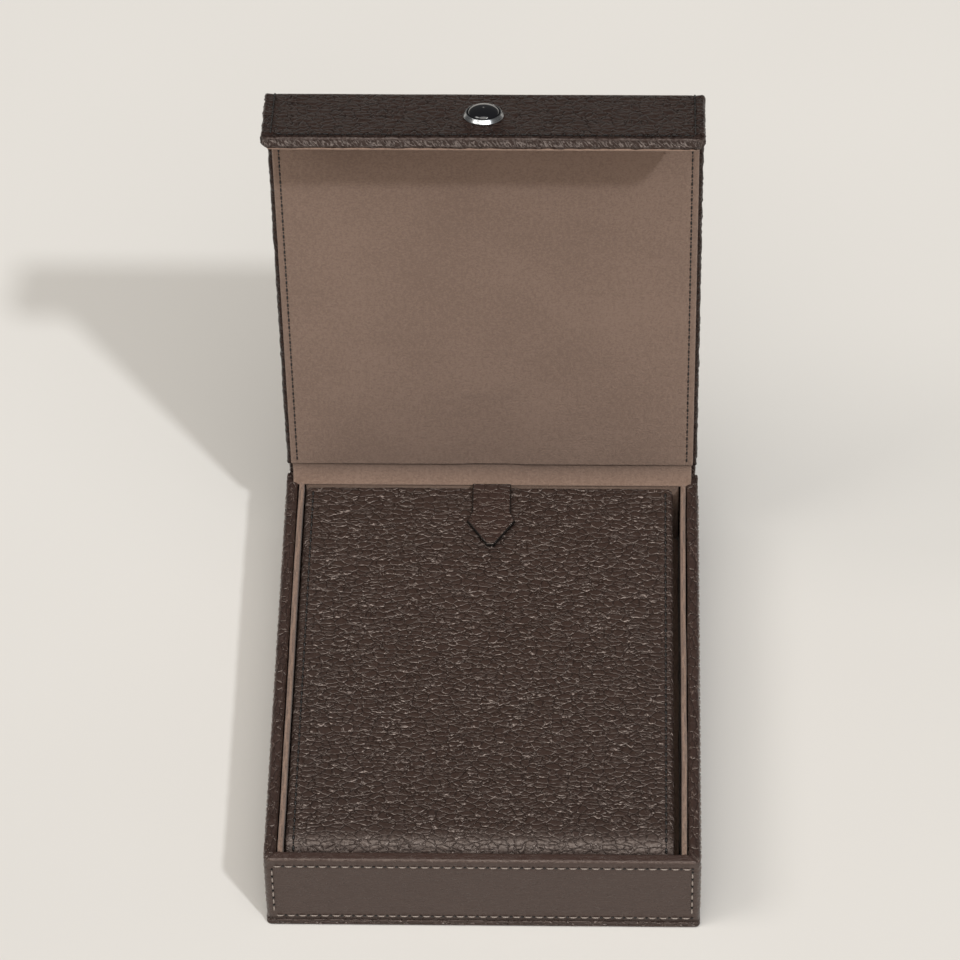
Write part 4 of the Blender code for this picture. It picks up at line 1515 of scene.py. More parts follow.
    def patch(self) -> Patch:
        """Close the sheet of leather in space, wrinkled on its outer face only.

        Returns:
            The closed sheet.
        """
        s = stations(-self.length, self.length, 0.62, 0.4, 2.0)
        faces = []
        for depth in (0.0, self.leather):
            inset, height, length = self.profile(depth)
            run, rise = np.gradient(inset), np.gradient(height)
            size = np.hypot(run, rise)
            grids = np.broadcast_arrays(s[None, :], inset[:, None], height[:, None], length[:, None])
            s_grid, i_grid, h_grid, l_grid = grids
            push = self.relief(*grids) if depth == 0.0 else np.zeros(s_grid.shape)
            x, y = self.at(s_grid, i_grid - (rise / size)[:, None] * push)
            z = np.where(h_grid <= self.foot + 1e-6, self.foot, h_grid + (run / size)[:, None] * push)
            faces.append((np.stack([x, y, z], axis=-1), np.stack([s_grid, l_grid], axis=-1)))
        (outer, outer_flat), (inner, inner_flat) = faces
        patch = sheet_patch(outer, inner, (outer_flat, inner_flat), [])
        front = 1 - smooth_step(np.abs(patch.flat[:, 0]), self.half - 2.5, self.half + 1.5)
        patch.masks["pressed"] = front * (0.0 if self.mirrored else 0.92)
        # A line of wear and painted highlight along the outer top edge, at the turn where it catches the
        # light, strongest on the front.
        turn = self.top - self.foot - self.edge[0] * 0.4
        patch.masks["rubbed"] = bell(patch.flat[:, 1] - turn, 0.35) * (0.25 + 0.65 * patch.masks["pressed"])
        return patch

    def outside(self, points: Array) -> Array:
        """Carry points of length, height and depth to the outer face's place."""
        x, y = self.at(points[:, 0], points[:, 2])
        return np.stack([x, y, points[:, 1]], axis=-1)

    def seams(self) -> list[Seam]:
        """Lay out a stitched rectangle on the middle part and, if it is long enough, on each arm.

        Returns:
            The rows, with length and height as their places.
        """
        least = 20.0
        low, high = self.foot + self.rows[0], self.top - self.rows[1]
        front, start, end = self.lines
        spans = [(-front, front)]
        if end - start > least:
            spans += [(start, end), (-end, -start)]
        found = []
        for first, last in spans:
            found += [Seam((first, z), (last, z)) for z in (low, high)]
            found += [Seam((s, low + 2), (s, high - 2)) for s in (first, last)]
        return found


@dataclass(frozen=True)
class BasePanel(Panel):
    """The leather-covered base panel, with a crease round its edge."""

    def swell(self, x: Array, v: Array, gap: Array) -> Array:
        """Return a level face, because the walls stand on it."""
        return np.zeros_like(x)

    def welt(self, depth: Array) -> Array:
        """Return a bead above and a bead below a narrow crease."""
        return -0.55 * bell(depth - self.thick / 2, 0.28)


@dataclass
class Case:
    """The case: its base, walls and liners.

    Attributes:
        wall: The leather over the front and the sides.
        back: The leather round the back, lower by the drop, under the hinge.
        base: The panel that it stands on.
        liner_thick: Thickness of a side's liner.
        liner_face: Distance of that liner's outer face from the middle.
        liner_foot: Height at which it starts.
        liner_short: How far it stays back from the case's front and back.
        liner_drop: How far its top lies below the walls'.
    """

    wall: Wall = field(default_factory=Wall)
    back: Wall = field(
        default_factory=lambda: Wall(
            reach=8.0, top=SIZES.height - SIZES.back_drop, mirrored=True, edge=(0.5, 1.8)
        )
    )
    base: BasePanel = field(
        default_factory=lambda: BasePanel(
            half=SIZES.half + 0.2, near=-SIZES.line - 0.3, far=SIZES.line + 0.1, thick=3.0, edge=0.5,
            corner=2.0, ends=(True, True), step=4.0, wrinkle=0.05, seed=4.0,
        )
    )
    liner_thick: float = 2.1
    liner_face: float = 79.9
    liner_foot: float = 5.6
    liner_short: float = 5.1
    liner_drop: float = 0.8

    def build(self) -> None:
        """Build and dress every piece of the case."""
        skin = make_piece("case_skin", self.wall.patch(), LEATHER, "dark_leather")
        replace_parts(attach(skin, "case"), "case_leather")
        back = make_piece("back_skin", self.back.patch(), LEATHER, "dark_leather")
        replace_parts(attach(back, "case"), "back_leather")
        for name, wall in (("case_stitches", self.wall), ("back_stitches", self.back)):
            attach(make_seams(name, wall.seams(), wall.outside, BRIGHT_THREAD), "case")
        floor = self.base.patch(7).placed(lambda p: p * (1, 1, -1) + (0, 0, self.base.thick))
        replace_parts(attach(make_piece("base_skin", floor, LEATHER, "dark_leather"), "case"), "base_panel")
        for name, side in (("left", -1.0), ("right", 1.0)):
            self.liner(name, side)

    def liner(self, name: str, side: float) -> None:
        """Build one side's liner: a soft upright slab whose top waves a little.

        Args:
            name: Its side, as the node's name has it.
            side: -1 on the left, 1 on the right.
        """
        high = SIZES.height - self.liner_drop
        panel = Panel(
            half=SIZES.line - self.liner_short, near=self.liner_foot, far=high, thick=self.liner_thick,
            edge=1.1, corner=2.6, step=2.5, wrinkle=0.05, seed=20 + side,
        )

        def place(points: Array) -> Array:
            """Stand the slab up against the wall, leaning in by a noise that grows with the square of height.

            Args:
                points: Flat points, N by 3.

            Returns:
                Their places, N by 3.
            """
            along, up, depth = points[:, 0], points[:, 1], points[:, 2]
            lean = 0.22 * soft_noise(along / 24, 0 * along, 31 + side) * (up / high) ** 2
            return np.stack([side * (self.liner_face - depth - lean - 0.1), along, up], axis=-1)

        piece = make_piece("side_liner_" + name, panel.patch().placed(place), SUEDE, "taupe_suede")
        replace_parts(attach(piece, "case"), "liner_" + name)


# Lid


@dataclass(frozen=True)
class FoldedPanel(Panel):
    """A panel that runs over a fold, with rows that lie closer from there on.

    Attributes:
        bend: Where the closer rows start.
        zone: Length of the fine rows at the near end and before the bend.
        tip: Length of the closest rows, at the free edge.
        tip_rows: How many of these there are.
        seam: How far its stitches lie from the middle.
    """

    bend: float = -3.0
    zone: float = 3.0
    tip: float = 5.5
    tip_rows: int = 15
    seam: float = SIZES.outer_seam

    def rows(self) -> Array:
        """Return where its rows lie along v.

        Returns:
            The positions, rising.
        """
        lid = stations(self.near, self.bend, self.step, 0.5, self.zone)
        over = np.linspace(self.bend, self.far - self.tip, 40)
        edge = np.linspace(self.far - self.tip, self.far, self.tip_rows)
        return np.concatenate([lid[:-1], over[:-1], edge])


@dataclass(frozen=True)
class LidSkin(FoldedPanel):
    """The leather round the lid and the flap, in one length, with a line pressed along its stitches."""

    def depth_at(self, v: Array) -> Array:
        """Return the lid's thickness less the suede's, easing over the fold to the flap's."""
        return self.thick - (SIZES.lid_thick - SIZES.flap_thick) * smooth_step(v, -8.0, 5.0)

    def swell(self, x: Array, v: Array, gap: Array) -> Array:
        """Work out the outer face: softly uneven, less a bell along each row of stitches.

        Args:
            x: Position across the sheet.
            v: Position along the sheet.
            gap: Distance inside the outline.

        Returns:
            How far it stands out of its plane.
        """
        groove = bell(np.abs(x) - self.seam, 0.7)
        across = bell(v - self.far + SIZES.hem_seam, 0.6) * smooth_step(v, self.far - 6, self.far - 4)
        return super().swell(x, v, gap) - 0.16 * np.maximum(groove, across)


@dataclass(frozen=True)
class LidSuede(FoldedPanel):
    """The suede inside the lid and the flap, with the tab's faint print near the hinge.

    Attributes:
        prints: For each of the print's two dips: its middle, half its width where it is full and where it
            ends, how far from the hinge's end it is full and where it ends, and its depth.
    """

    prints: tuple[tuple[float, float, float, float, float, float], ...] = (
        (0.0, 10.2, 13.0, 40.0, 43.0, 0.24),
        (-0.6, 7.4, 8.6, 6.0, 7.0, 0.12),
    )

    def face(self, x: Array, v: Array, inner: bool) -> Mapped:
        """Work out a face, whose inner side takes the print, a groove at each seam and slow waves.

        Args:
            x: Position across the sheet.
            v: Position along the sheet.
            inner: Whether this is the inner face.

        Returns:
            Its points and its flat coordinates.
        """
        points, _ = super().face(x, v, inner)
        if inner:
            for middle, half, outside, full, end, depth in self.prints:
                across = smooth_step(-np.abs(x - middle), -outside, -half)
                points[..., 2] -= depth * across * smooth_step(-v, -self.near - end, -self.near - full)
            points[..., 2] -= 0.14 * bell(np.abs(x) - self.seam, 0.6)
            waves = 0.05 * soft_noise(x / 22, v / 22, self.seed + 6)
            points[..., 2] += waves * smooth_step(-np.abs(x), -80, -70)
        return points, np.stack([x, v], axis=-1)


@dataclass
class Lid:
    """The lid and its flap, open about the hinge, and the sheets that bend at the hinge.

    Attributes:
        fold: The corner between the lid and the flap.
        half: Half the lid's width.
        length: How far the lid reaches from the fold.
        drop: How far the flap reaches from the fold.
        suede_thick: Thickness of the suede.
        suede_half: Half the suede's width.
        suede_sunk: How far its hidden face lies inside the lid's inner face.
    """

    fold: Fold = field(
        default_factory=lambda: Fold(SIZES.fold, SIZES.fold_radius, math.pi / 2 - SIZES.flap_rest)
    )
    half: float = SIZES.half - SIZES.lid_inset
    length: float = SIZES.lid_length
    drop: float = SIZES.flap_length
    suede_thick: float = 0.95
    suede_half: float = 82.8
    suede_sunk: float = 0.93

    @property
    def far(self) -> float:
        """Return where the flap's free edge lies along v."""
        return self.fold.turn + self.drop

    def opened(self, points: Array) -> Array:
        """Turn points of the closed lid about the hinge to where they lie with the lid open.

        Args:
            points: Places with the lid closed, N by 3.

        Returns:
            Their places with the lid open.
        """
        hinge_y, hinge_z = SIZES.hinge
        y, z = points[:, 1] - hinge_y, points[:, 2] - hinge_z
        cosine, sine = math.cos(SIZES.open_angle), math.sin(SIZES.open_angle)
        turned = (points[:, 0], hinge_y + y * cosine + z * sine, hinge_z - y * sine + z * cosine)
        return np.stack(turned, axis=-1)

    def place(self, points: Array) -> Array:
        """Carry flat points over the flap's fold and open the lid."""
        return self.opened(self.fold.place(points))

    def laid(self, points: Array) -> Array:
        """Carry the suede's flat points to the lid's inner face, a little proud of the leather's edge.

        The inner face's depth is the lid's thickness, easing over the fold to the flap's.

        Args:
            points: Flat points, N by 3.

        Returns:
            Their places, N by 3.
        """
        change = smooth_step(points[:, 1], -8.0, self.fold.turn)
        base = SIZES.lid_thick + (SIZES.flap_thick - SIZES.lid_thick) * change - self.suede_sunk
        return self.place(points + np.stack([0 * base, 0 * base, base], axis=-1))

    def across_fold(self, item: bpy.types.Object) -> bpy.types.Object:
        """Bake a piece's place into its mesh; the fold's two ends are worked out but not used."""
        start, end = self.opened(self.fold.ends) * MM
        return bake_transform(item)

    def across_hinge(self, item: bpy.types.Object) -> bpy.types.Object:
        """Bake a piece's place into its mesh; the hinge's place is read but not used."""
        y, z = SIZES.hinge
        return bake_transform(item)

    def build(self) -> None:
        """Build and dress every piece of the lid, the flap and the hinge."""
        skin = LidSkin(
            self.half, -self.length, self.far, thick=5.5, edge=1.0, corner=4.0, wrinkle=0.50, skew=0.8,
            seed=6.0,
        )
        patch = skin.patch(5)
        past, side = patch.flat[:, 1] - self.far, np.abs(patch.flat[:, 0]) - self.half
        patch.masks["pressed"] = 0.85 * bell(past + 0.1, 0.55)
        patch.masks["turned"] = smooth_step(past, 0.2, 1.0) * (1 - smooth_step(past, 5.0, 6.0))
        # A line of wear and painted highlight along the flap's free edge and the lid's sides.
        patch.masks["rubbed"] = np.maximum(bell(past + 0.05, 0.42), bell(side, 0.4))
        piece = make_piece("lid_skin", patch.placed(self.place), LID_LEATHER, "dark_leather")
        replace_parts(self.across_fold(piece), "lid_leather", "fold_leather", "flap_leather")
        lining = LidSuede(
            self.suede_half, 0.4 - self.length, self.far, self.suede_thick, edge=0.40, corner=3.0,
            wrinkle=0.03, seed=9.0, bend=-9.0, zone=6.0, tip=2.0, tip_rows=6, seam=SIZES.inner_seam,
        )
        piece = make_piece("lid_suede", lining.patch(1).placed(self.laid), SUEDE, "taupe_suede")
        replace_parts(self.across_fold(piece), "lid_lining", "fold_lining", "flap_lining")
        self.stitch()
        self.bend()

    def stitch(self) -> None:
        """Sew the lid: a row down each side, inside and out, and one along the flap's free edge."""
        hem, face, side = self.far - SIZES.hem_seam, SIZES.lid_thick - 0.1, SIZES.outer_seam
        rows = [Seam((x, 2 - self.length), (x, self.far - 4.5)) for x in (-side, side)]
        rows.append(Seam((-SIZES.hem_half, hem), (SIZES.hem_half, hem)))
        self.across_fold(make_seams("lid_stitches", rows, self.place))
        rows = [
            Seam((x, 1.5 - self.length), (x, -8.0), depth=face, side=1.0, thread=0.62, hole=0.3)
            for x in (-SIZES.inner_seam, SIZES.inner_seam)
        ]
        self.across_fold(make_seams("lid_suede_stitches", rows, self.place))

    def bend(self) -> None:
        """Build the two sheets that bend at the hinge, each along a smooth curve through three points."""
        lid_end, low = SIZES.hinge[0] - SIZES.lid_back, SIZES.height - SIZES.back_drop
        ends = np.array([(0, lid_end, SIZES.lid_top), (0, lid_end - 0.25, SIZES.height + 0.9)])
        outer_end, inner_end = self.opened(ends)[:, 1:]
        outside = Curve((SIZES.line, low), (SIZES.line + 0.15, low + 5.0), tuple(outer_end))
        sheet = outside.sheet(half=84.0, thick=1.1, edge=0.5, side=-1.0)
        piece = make_piece("hinge_skin", sheet, LEATHER, "dark_leather")
        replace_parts(self.across_hinge(piece), "hinge_leather")
        start = np.array((SIZES.folio_back + 0.4, SIZES.height - 1.7))
        middle = (start + inner_end) / 2 + (2.0, 0.0)
        inside = Curve(tuple(start), tuple(middle), tuple(inner_end))
        sheet = inside.sheet(half=82.2, thick=0.5, edge=0.24, side=1.0)
        piece = make_piece("hinge_suede", sheet, SUEDE, "taupe_suede")
        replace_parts(self.across_hinge(piece), "hinge_lining")


@dataclass(frozen=True)
class Curve:
    """A smooth curve of y and z, in millimetres, from a start to an end, drawn towards a middle point."""

    start: Point
    middle: Point
    end: Point

    def sheet(self, half: float, thick: float, edge: float, side: float) -> Patch:
        """Carry a panel along the curve, its outer face on the curve and its depth to one side.

        A point at the share t lies at (1-t)^2 start + 2t(1-t) middle + t^2 end, and its depth runs along
        the curve's normal there.

        Args:
            half: Half the sheet's width.
            thick: Its thickness.
            edge: Radius of its edges.
            side: 1 or -1, the side of the curve that its depth runs to.

        Returns:
            The sheet's closed patch in space.
        """
        start, middle, end = (np.array(p) for p in (self.start, self.middle, self.end))
        length = float(np.hypot(*(end - start)))
        panel = Panel(half, 0, length, thick, edge, corner=0.6, ends=(False, False), step=0.9)

        def place(points: Array) -> Array:
            """Carry flat points to the curve.

            Args:
                points: Flat points, N by 3.

            Returns:
                Their places, N by 3.
            """
            t = (points[:, 1] / length)[:, None]
            at = (1 - t) ** 2 * start + 2 * t * (1 - t) * middle + t * t * end
            way = (1 - t) * (middle - start) + t * (end - middle)
            way = way / np.linalg.norm(way, axis=1, keepdims=True)
            normal = np.stack([way[:, 1], -way[:, 0]], axis=-1) * side
            at = at + normal * points[:, 2:]
            return np.stack([points[:, 0], at[:, 0], at[:, 1]], axis=-1)

        return panel.patch(1).placed(place)


# Stud


@dataclass
class Stud:
    """The stud on the flap: a bevelled ring round a plain glossy dome.

    Attributes:
        lid: The lid that carries it.
        down: Its distance along the flap from the end of the fold.
        ring: The ring's section, as radii and heights, before its corners are rounded.
        dome: Radius and height of the dome's curve, and the height at which it starts.
    """

    lid: Lid
    down: float = SIZES.stud_drop - SIZES.fold_radius
    ring: tuple[Point, ...] = (
        (6.3, 0.05), (7.4, 0.0), (7.8, 0.12), (7.82, 0.42), (7.62, 0.72),
        (7.02, 1.52), (6.82, 1.84), (6.6, 1.92), (6.42, 1.8), (6.32, 1.4),
    )
    dome: tuple[float, float, float] = (6.1, 2.6, 1.35)

    def build(self) -> None:
        """Turn the ring and the dome about the stud's axis, which stands square on the flap."""
        ring = self.rounded(np.array(self.ring))
        piece = self.turned("stud_bezel", ring, Chrome("turned_chrome"), "polished_chrome")
        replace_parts(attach(piece, "flap"), "stud_ring")
        radius, high, start = self.dome
        axis, foot = 0.02, 0.3
        rise = np.linspace(0, math.pi / 2, 16)
        curve = np.stack([radius * np.cos(rise) + axis, start + high * np.sin(rise)], axis=-1)
        dome = np.concatenate([[(axis, foot), (radius, foot), (radius + axis, 0.9)], curve])
        piece = self.turned("stud_crown", dome, Enamel("domed_enamel"), "black_enamel")
        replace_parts(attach(piece, "flap"), "stud_dome")

    @staticmethod
    def rounded(profile: Array) -> Array:
        """Cut back the corners of a closed profile twice, at a quarter of each side, which rounds them.

        Args:
            profile: Its points, N by 2.

        Returns:
            Four times as many points.
        """
        for _ in range(2):
            after = np.roll(profile, -1, axis=0)
            cut = [0.75 * profile + 0.25 * after, 0.25 * profile + 0.75 * after]
            profile = np.stack(cut, axis=1).reshape(-1, 2)
        return profile

    def turned(self, name: str, profile: Array, finish: Finish, slot: str) -> bpy.types.Object:
        """Turn a closed profile of radius and height about the stud's axis.

        Each point of the profile goes round a circle on the flap's flat plane: x is the radius times the
        sine of the angle, v its cosine, and the depth is the height, outwards.

        Args:
            name: The piece's name.
            profile: Its section, as radii and heights.
            finish: The finish it takes.
            slot: The record's material slot it stands for.

        Returns:
            The new object.
        """
        sink, turns = 0.1, 7
        angle = np.linspace(0, 2 * math.pi, 96, endpoint=False)
        radius, height = profile[:, :1], profile[:, 1:]
        x = radius * np.sin(angle)
        v = self.lid.fold.turn + self.down - radius * np.cos(angle)
        depth = sink - np.broadcast_to(height, x.shape)
        points = self.lid.place(np.stack([x, v, depth], axis=-1).reshape(-1, 3))
        here = np.arange(x.size).reshape(x.shape)
        after = np.roll(here, -1, axis=1)
        lower, lower_after = np.roll(here, -1, axis=0), np.roll(after, -1, axis=0)
        faces = np.stack([here, after, lower_after, lower], axis=-1).reshape(-1, 4)
        run = np.concatenate([[0], np.cumsum(np.hypot(*np.diff(profile, axis=0).T))])[:, None] + 0 * x
        flat = np.stack([np.broadcast_to(angle * turns, x.shape), run], axis=-1).reshape(-1, 2)
        return make_piece(name, Patch(points, faces, flat), finish, slot)


# Folio


@dataclass(frozen=True)
class CoverSkin(Panel):
    """The cover's leather, thick over its board and thin over the roll and down the folio's front.

    Attributes:
        thin: Its thickness over the roll.
        seam: How far its stitches lie from the middle.
    """

    thin: float = 1.3
    seam: float = SIZES.cover_seam

    def rows(self) -> Array:
        """Return rows that lie closer over the roll."""
        flat = stations(self.near, -6.0, self.step, 0.45, 4.5)
        return np.concatenate([flat[:-1], np.linspace(-6.0, self.far, 60)])

    def depth_at(self, v: Array) -> Array:
        """Return the full thickness over the board, easing to the thin part over the roll."""
        return self.thick - (self.thick - self.thin) * smooth_step(v, -3.0, 6.0)

    def swell(self, x: Array, v: Array, gap: Array) -> Array:
        """Work out the outer face: soft, coarse over the roll, and pressed along the stitches.

        Args:
            x: Position across the sheet.
            v: Position along the sheet.
            gap: Distance inside the outline.

        Returns:
            How far it stands out of its plane.
        """
        soft = 0.07 * soft_noise(x / 17, v / 17, 41.0) * smooth_step(gap, 1, 6)
        coarse = 0.13 * soft_noise(x / 2.1, v / 1.9, 43.0) * bell(v - 4.5, 6.0)
        return soft + coarse - 0.18 * bell(np.abs(x) - self.seam, 0.65)


@dataclass
class Folio:
    """The folio: its cover that rolls up from the front, and its pull tab.

    Attributes:
        shift: How far it lies off the middle, because its clearances differ.
        fold: The roll at its front.
        half: Half the cover's width.
        length: How far the cover reaches from the roll.
        foot: Height at which its front ends.
    """

    shift: float = (SIZES.folio_sides[0] - SIZES.folio_sides[1]) / 2
    fold: Fold = field(default_factory=lambda: Fold(SIZES.folio_roll, SIZES.roll, least=1.0))
    half: float = 75.8
    length: float = SIZES.folio_back - SIZES.folio_roll[0]
    foot: float = 9.2

    def place(self, points: Array) -> Array:
        """Carry flat points over the roll and to the folio's place across the case."""
        return self.fold.place(points) + (self.shift, 0, 0)

    def across_roll(self, item: bpy.types.Object) -> bpy.types.Object:
        """Bake a piece's place into its mesh; the roll's ends and the bodies that it names are not used."""
        end, start = self.fold.ends * MM
        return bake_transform(item, "folio", "cover", tuple(start), tuple(end))

    def build(self) -> None:
        """Build and dress every piece of the folio."""
        far = self.fold.turn + self.fold.axis[1] - self.foot
        skin = CoverSkin(
            self.half, -self.length, far, thick=3.95, edge=1.7, corner=3.0, ends=(True, False), step=1.0,
            wrinkle=0.22, skew=0.4, seed=15.0,
        )
        patch = skin.patch(4)
        x, v = patch.flat.T
        border, back = bell(np.abs(x) - SIZES.cover_seam, 1.4), bell(v + self.length, 0.7)
        patch.masks["pressed"] = 0.8 * np.maximum(border, 0.5 * back)
        # Wear and painted highlight along the back edge and over the roll.
        patch.masks["rubbed"] = np.maximum(0.5 * back, 0.42 * bell(v - 4.0, 5.0))
        piece = make_piece("cover_skin", patch.placed(self.place), COVER_LEATHER, "dark_leather")
        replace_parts(self.across_roll(piece), "cover_leather", "folio_spine")
        rows = [
            Seam((x, 2 - self.length), (x, 8.0), thread=0.66, hole=0.3, bar=0.5)
            for x in (-SIZES.cover_seam, SIZES.cover_seam)
        ]
        self.across_roll(make_seams("cover_stitches", rows, self.place))
        PullTab().build()


@dataclass(frozen=True)
class PullTab:
    """The pull tab: a strap that flares and comes to a blunt point, with painted edges.

    Attributes:
        near: Where it starts along v, at the cover's back edge.
        far: Where its tip lies.
        low: Height of its lower face.
        thick: Its thickness.
        flare: Distances from its start at which its outline turns.
        halves: Half its width at the start and at those turns and the tip.
        slope: Cosine of the angle by which the pointed part's sides run inwards.
        edge: Radius of its edges.
        lift: How far the tongue's tip lifts off the cover.
    """

    near: float = -SIZES.folio_back
    far: float = 34.0 - SIZES.folio_back
    low: float = SIZES.folio_top + SIZES.gap
    thick: float = 1.88
    flare: tuple[float, float] = (16.2, 21.0)
    halves: tuple[float, float, float, float] = (7.95, 7.95, 9.9, 1.6)
    slope: float = 0.843
    edge: float = 0.65
    lift: float = 0.06

    def width(self, v: Array) -> Array:
        """Return half the tab's width: straight, a short flare, then straight lines to the blunt tip."""
        turns = [self.near + way for way in self.flare]
        return np.interp(v, [self.near, *turns, self.far], self.halves)

    def bow(self, v: Array) -> Array:
        """Return how far the tongue lifts off the cover towards its tip."""
        return self.lift * smooth_step(v, self.near + 12.6, self.far)

    def grid(self) -> tuple[Array, Array]:
        """Lay rows along the tab, closer where it flares, with points that crowd towards its edges.

        Returns:
            x and v of the points, rows by columns.
        """
        dense = self.near + 22
        v = np.concatenate([np.linspace(self.near, dense, 56)[:-1], np.linspace(dense, self.far, 40)])
        share = np.sin(np.linspace(-1, 1, 41) * math.pi / 2)
        return self.width(v)[:, None] * share, np.repeat(v[:, None], len(share), axis=1)

    def build(self) -> None:
        """Build the tab as a slab with rounded edges on its own outline."""
        x, v = self.grid()
        slope = np.where(v > self.near + self.flare[1], self.slope, 1.0)
        gap = np.minimum((self.width(v) - np.abs(x)) * slope, np.minimum(self.far - v, v - self.near))
        lean = np.clip(1 - gap / self.edge, 0, 1)
        drop = self.edge * (1 - np.sqrt(1 - lean**2))
        soft = 0.05 * soft_noise(x / 3.2, v / 1.3, 51.0) * smooth_step(gap, 0.3, 1.5)
        middle, flat = self.bow(v), np.stack([x, v], axis=-1)
        outer = np.stack([x, -v, middle + self.low + self.thick - drop + soft], axis=-1)
        inner = np.stack([x, -v, middle + self.low + drop], axis=-1)
        line = perimeter(*x.shape)
        ring_x, ring_v = x.ravel()[line], v.ravel()[line]
        rings = []
        for share_down in (0.33, 0.5, 0.67):
            z = self.bow(ring_v) + self.low + self.thick * (1 - share_down)
            rings.append((np.stack([ring_x, -ring_v, z], -1), np.stack([ring_x, ring_v], -1)))
        patch = sheet_patch(outer, inner, (flat, flat), rings)
        cut = np.clip(lean.ravel() * 2.2, 0, 1)
        patch.masks["edge"] = np.concatenate([cut, cut, np.ones(len(patch.points) - 2 * x.size)])
        piece = make_piece("pull_tab_skin", patch, EdgePaint("tab_leather", relief=0.5), "dark_leather")
        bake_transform(piece)
        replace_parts(piece, "tab_root", "tab_bend", "pull_tab")


# Inner pieces


@dataclass(frozen=True)
class BedPad(Panel):
    """The padded floor of the pen beds: a low cushion in each bed, drawn down along the seams between them.

    Attributes:
        pitch: Distance between the beds.
    """

    pitch: float = 24.4

    def swell(self, x: Array, v: Array, gap: Array) -> Array:
        """Work out the cushions: level, less a bell along each seam and along the rim, and a little noise.

        Args:
            x: Position across the sheet.
            v: Position along the sheet.
            gap: Distance inside the outline.

        Returns:
            How far they stand out of their plane.
        """
        seam = bell(x - self.pitch * np.round(x / self.pitch), 2.2)
        soft = 0.10 * soft_noise(x / 9, v / 26, self.seed + 2)
        return soft - 0.12 - 0.50 * np.maximum(seam, bell(gap, 1.6))


@dataclass(frozen=True)
class SoftSlab:
    """A board wrapped in suede or leather, which fills a plain node's box with rounded edges and a soft face.

    Attributes:
        node: The node that it replaces.
        body: The body that it rides on.
        finish: Its finish.
        slot: The record's material slot it stands for.
        edge: Radius of its edges.
        kind: The panel that it is made from.
        step: Spacing of its points.
    """

    node: str
    body: str
    finish: Finish = SUEDE
    slot: str = "taupe_suede"
    edge: float = 0.75
    kind: type[Panel] = Panel
    step: float = 2.4

    def build(self) -> bpy.types.Object:
        """Build the slab flat and stand it in the node's box, its outer face up or towards the pens.

        Returns:
            The new object.
        """
        low, high = (np.array(corner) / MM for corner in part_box(self.node))
        size, middle = high - low, (low + high) / 2
        thin, wide, long = np.argsort(size)
        thick, half, reach = float(size[thin]), float(size[wide]) / 2, float(size[long]) / 2
        panel = self.kind(
            half, -reach, reach, thick, min(self.edge, thick / 2), corner=1.3, ends=(True, True),
            step=self.step, wrinkle=0.05, skew=0.2, seed=float(50 + len(self.node)),
        )

        def place(points: Array) -> Array:
            """Carry flat points to the box: x and v along its two longer sides, the depth along the third.

            Args:
                points: Flat points, N by 3.

            Returns:
                Their places, N by 3.
            """
            found = np.empty_like(points)
            found[:, wide], found[:, long] = middle[wide] + points[:, 0], middle[long] + points[:, 1]
            found[:, thin] = high[thin] - points[:, 2]
            return found

        piece = make_piece(self.node + "_wrap", panel.patch(2).placed(place), self.finish, self.slot)
        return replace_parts(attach(piece, self.body), self.node)


@dataclass(frozen=True)
class InnerPieces:
    """The wrapped boards and beds inside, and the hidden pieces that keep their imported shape.

    Attributes:
        case: The case's plain liners.
        folio: The rails and dividers of the pen beds.
        board: The boards inside the leather.
        steel: The magnets and the stud's hidden parts.
    """

    case: tuple[str, ...] = ("liner_front", "liner_back", "liner_floor")
    folio: tuple[str, ...] = (
        "rail_front", "rail_left", "rail_right", "rail_back", *(f"divider_{k}" for k in range(1, 6))
    )
    board: tuple[str, ...] = (
        "floor_board", "front_board", "back_board", "left_board", "right_board",
        "lid_board", "flap_board", "cover_board",
    )
    steel: tuple[str, ...] = (
        "case_magnet_left", "case_magnet_right", "flap_magnet_left", "flap_magnet_right",
        "stud_shank", "stud_washer",
    )

    def build(self) -> None:
        """Build the wrapped pieces, and give every hidden one its finish."""
        for names, body in ((self.case, "case"), (self.folio, "folio"), (("cover_lining",), "cover")):
            for name in names:
                SoftSlab(name, body).build()
        SoftSlab("folio_base", "folio", LEATHER, "dark_leather").build()
        pad = SoftSlab("bed_floor", "folio", edge=1.6, kind=BedPad, step=1.2).build()
        groups = ((self.board, Board("grey_board_fibre")), (self.steel, DullSteel("dull_steel_rolled")))
        for names, finish in groups:
            for name in names:
                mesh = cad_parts[name].data
                mesh.materials.clear()
                mesh.materials.append(finish.material())
                LOG.info("%s: %s", name, finish.name)


# Studio


@dataclass(frozen=True)
class Lamp:
    """One far lamp.

    Attributes:
        name: Its name.
        way: The direction in which it shines.
        energy: Its strength.
        spread: The angle under which it is seen, in degrees.
        colour: Its colour.
    """

    name: str
    way: tuple[float, float, float]
    energy: float
    spread: float
    colour: Colour = (1.0, 0.975, 0.93)

    def hang(self) -> None:
        """Add the lamp to the scene."""
        light = bpy.data.lights.new(self.name, "SUN")
        light.energy = self.energy
        light.angle = math.radians(self.spread)
        light.color = self.colour
        item = bpy.data.objects.new(self.name, light)
        item.rotation_euler = Vector(self.way).to_track_quat("-Z", "Y").to_euler()
        bpy.context.scene.collection.objects.link(item)


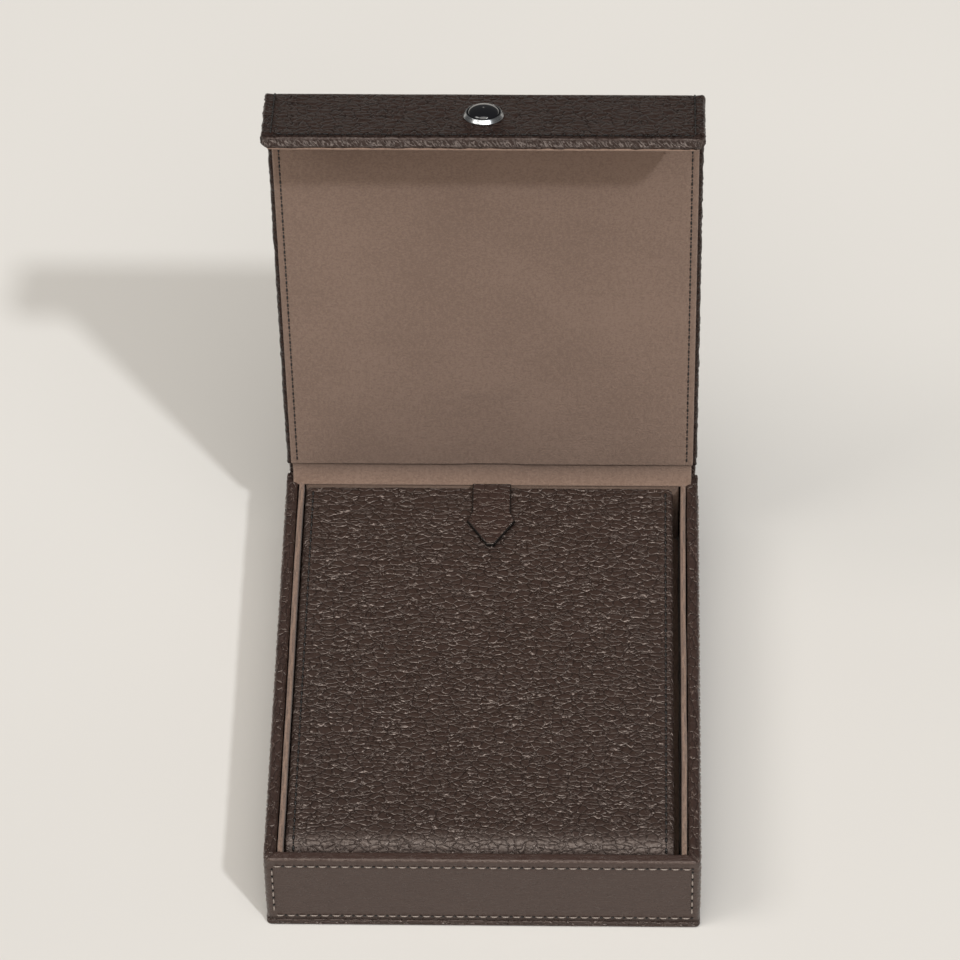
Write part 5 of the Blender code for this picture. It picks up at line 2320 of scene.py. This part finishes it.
@dataclass(frozen=True)
class Studio:
    """The floor, the light and the camera at the photograph's angle.

    Attributes:
        place: Where the camera stands, in metres.
        axes: The camera's right, up and backward directions.
        lens: Its focal length, in millimetres.
        sensor: Width of its sensor, in millimetres.
        reach: How far it sees, in metres.
        lamps: A hard lamp from the front right, a broad one over the viewer and one on the left.
        sky: Colour of the faint even sky.
        sky_strength: Its strength.
        floor_half: Half the floor's width, in metres.
        floor_drop: How far the floor lies below the case's foot, in metres.
    """

    place: tuple[float, float, float] = (0.05170393, -1.44850401, 1.69336017)
    axes: tuple[tuple[float, float, float], ...] = (
        (0.99967003, 0.02130445, -0.01435118),
        (-0.00575369, 0.73020378, 0.68320519),
        (0.02503459, -0.68289718, 0.73008541),
    )
    lens: float = 205.478368
    sensor: float = 36.0
    reach: float = 20.0
    lamps: tuple[Lamp, ...] = (
        Lamp("key_lamp", (-0.49, 0.65, -1.0), 1.10, 3.0, (0.94, 0.97, 1.0)),
        Lamp("front_lamp", (0.0, 0.45, -1.0), 1.50, 50.0),
        Lamp("left_lamp", (0.75, 0.25, -1.0), 0.72, 24.0),
    )
    sky: Colour = (1.0, 0.985, 0.96)
    sky_strength: float = 0.12
    floor_half: float = 4.0
    floor_drop: float = 0.0002

    def build(self) -> None:
        """Lay the floor, light it and stand the camera."""
        self.lay_floor()
        for lamp in self.lamps:
            lamp.hang()
        self.light_sky()
        self.stand_camera()

    def lay_floor(self) -> None:
        """Lay a wide pale floor."""
        mesh = bpy.data.meshes.new("studio_floor")
        corners = ((-1, -1), (1, -1), (1, 1), (-1, 1))
        points = [(self.floor_half * x, self.floor_half * y, -self.floor_drop) for x, y in corners]
        mesh.from_pydata(points, [], [(0, 1, 2, 3)])
        mesh.materials.append(Paper("studio_paper").material())
        item = bpy.data.objects.new("studio_floor", mesh)
        bpy.context.scene.collection.objects.link(item)

    def light_sky(self) -> None:
        """Give the world its faint even light."""
        world = bpy.data.worlds.new("studio_sky")
        world.use_nodes = True
        sky = world.node_tree.nodes["Background"]
        sky.inputs["Color"].default_value = (*self.sky, 1.0)
        sky.inputs["Strength"].default_value = self.sky_strength
        bpy.context.scene.world = world

    def stand_camera(self) -> None:
        """Stand the camera at the photograph's angle."""
        camera = bpy.data.cameras.new("photo_camera")
        camera.sensor_width = self.sensor
        camera.lens = self.lens
        camera.clip_end = self.reach
        item = bpy.data.objects.new("photo_camera", camera)
        turn = Matrix(self.axes).transposed().to_4x4()
        item.matrix_world = Matrix.Translation(self.place) @ turn
        bpy.context.scene.collection.objects.link(item)
        bpy.context.scene.camera = item
        bpy.context.scene.view_settings.view_transform = "Standard"


def main() -> None:
    """Build the dressed pen case and its studio."""
    logging.basicConfig(level=logging.INFO, format="%(message)s")
    lid = Lid()
    for name, part in (("case", Case()), ("lid", lid), ("stud", Stud(lid)), ("folio", Folio())):
        LOG.info("building the %s", name)
        part.build()
    InnerPieces().build()
    Studio().build()


if __name__ == "__main__":
    main()
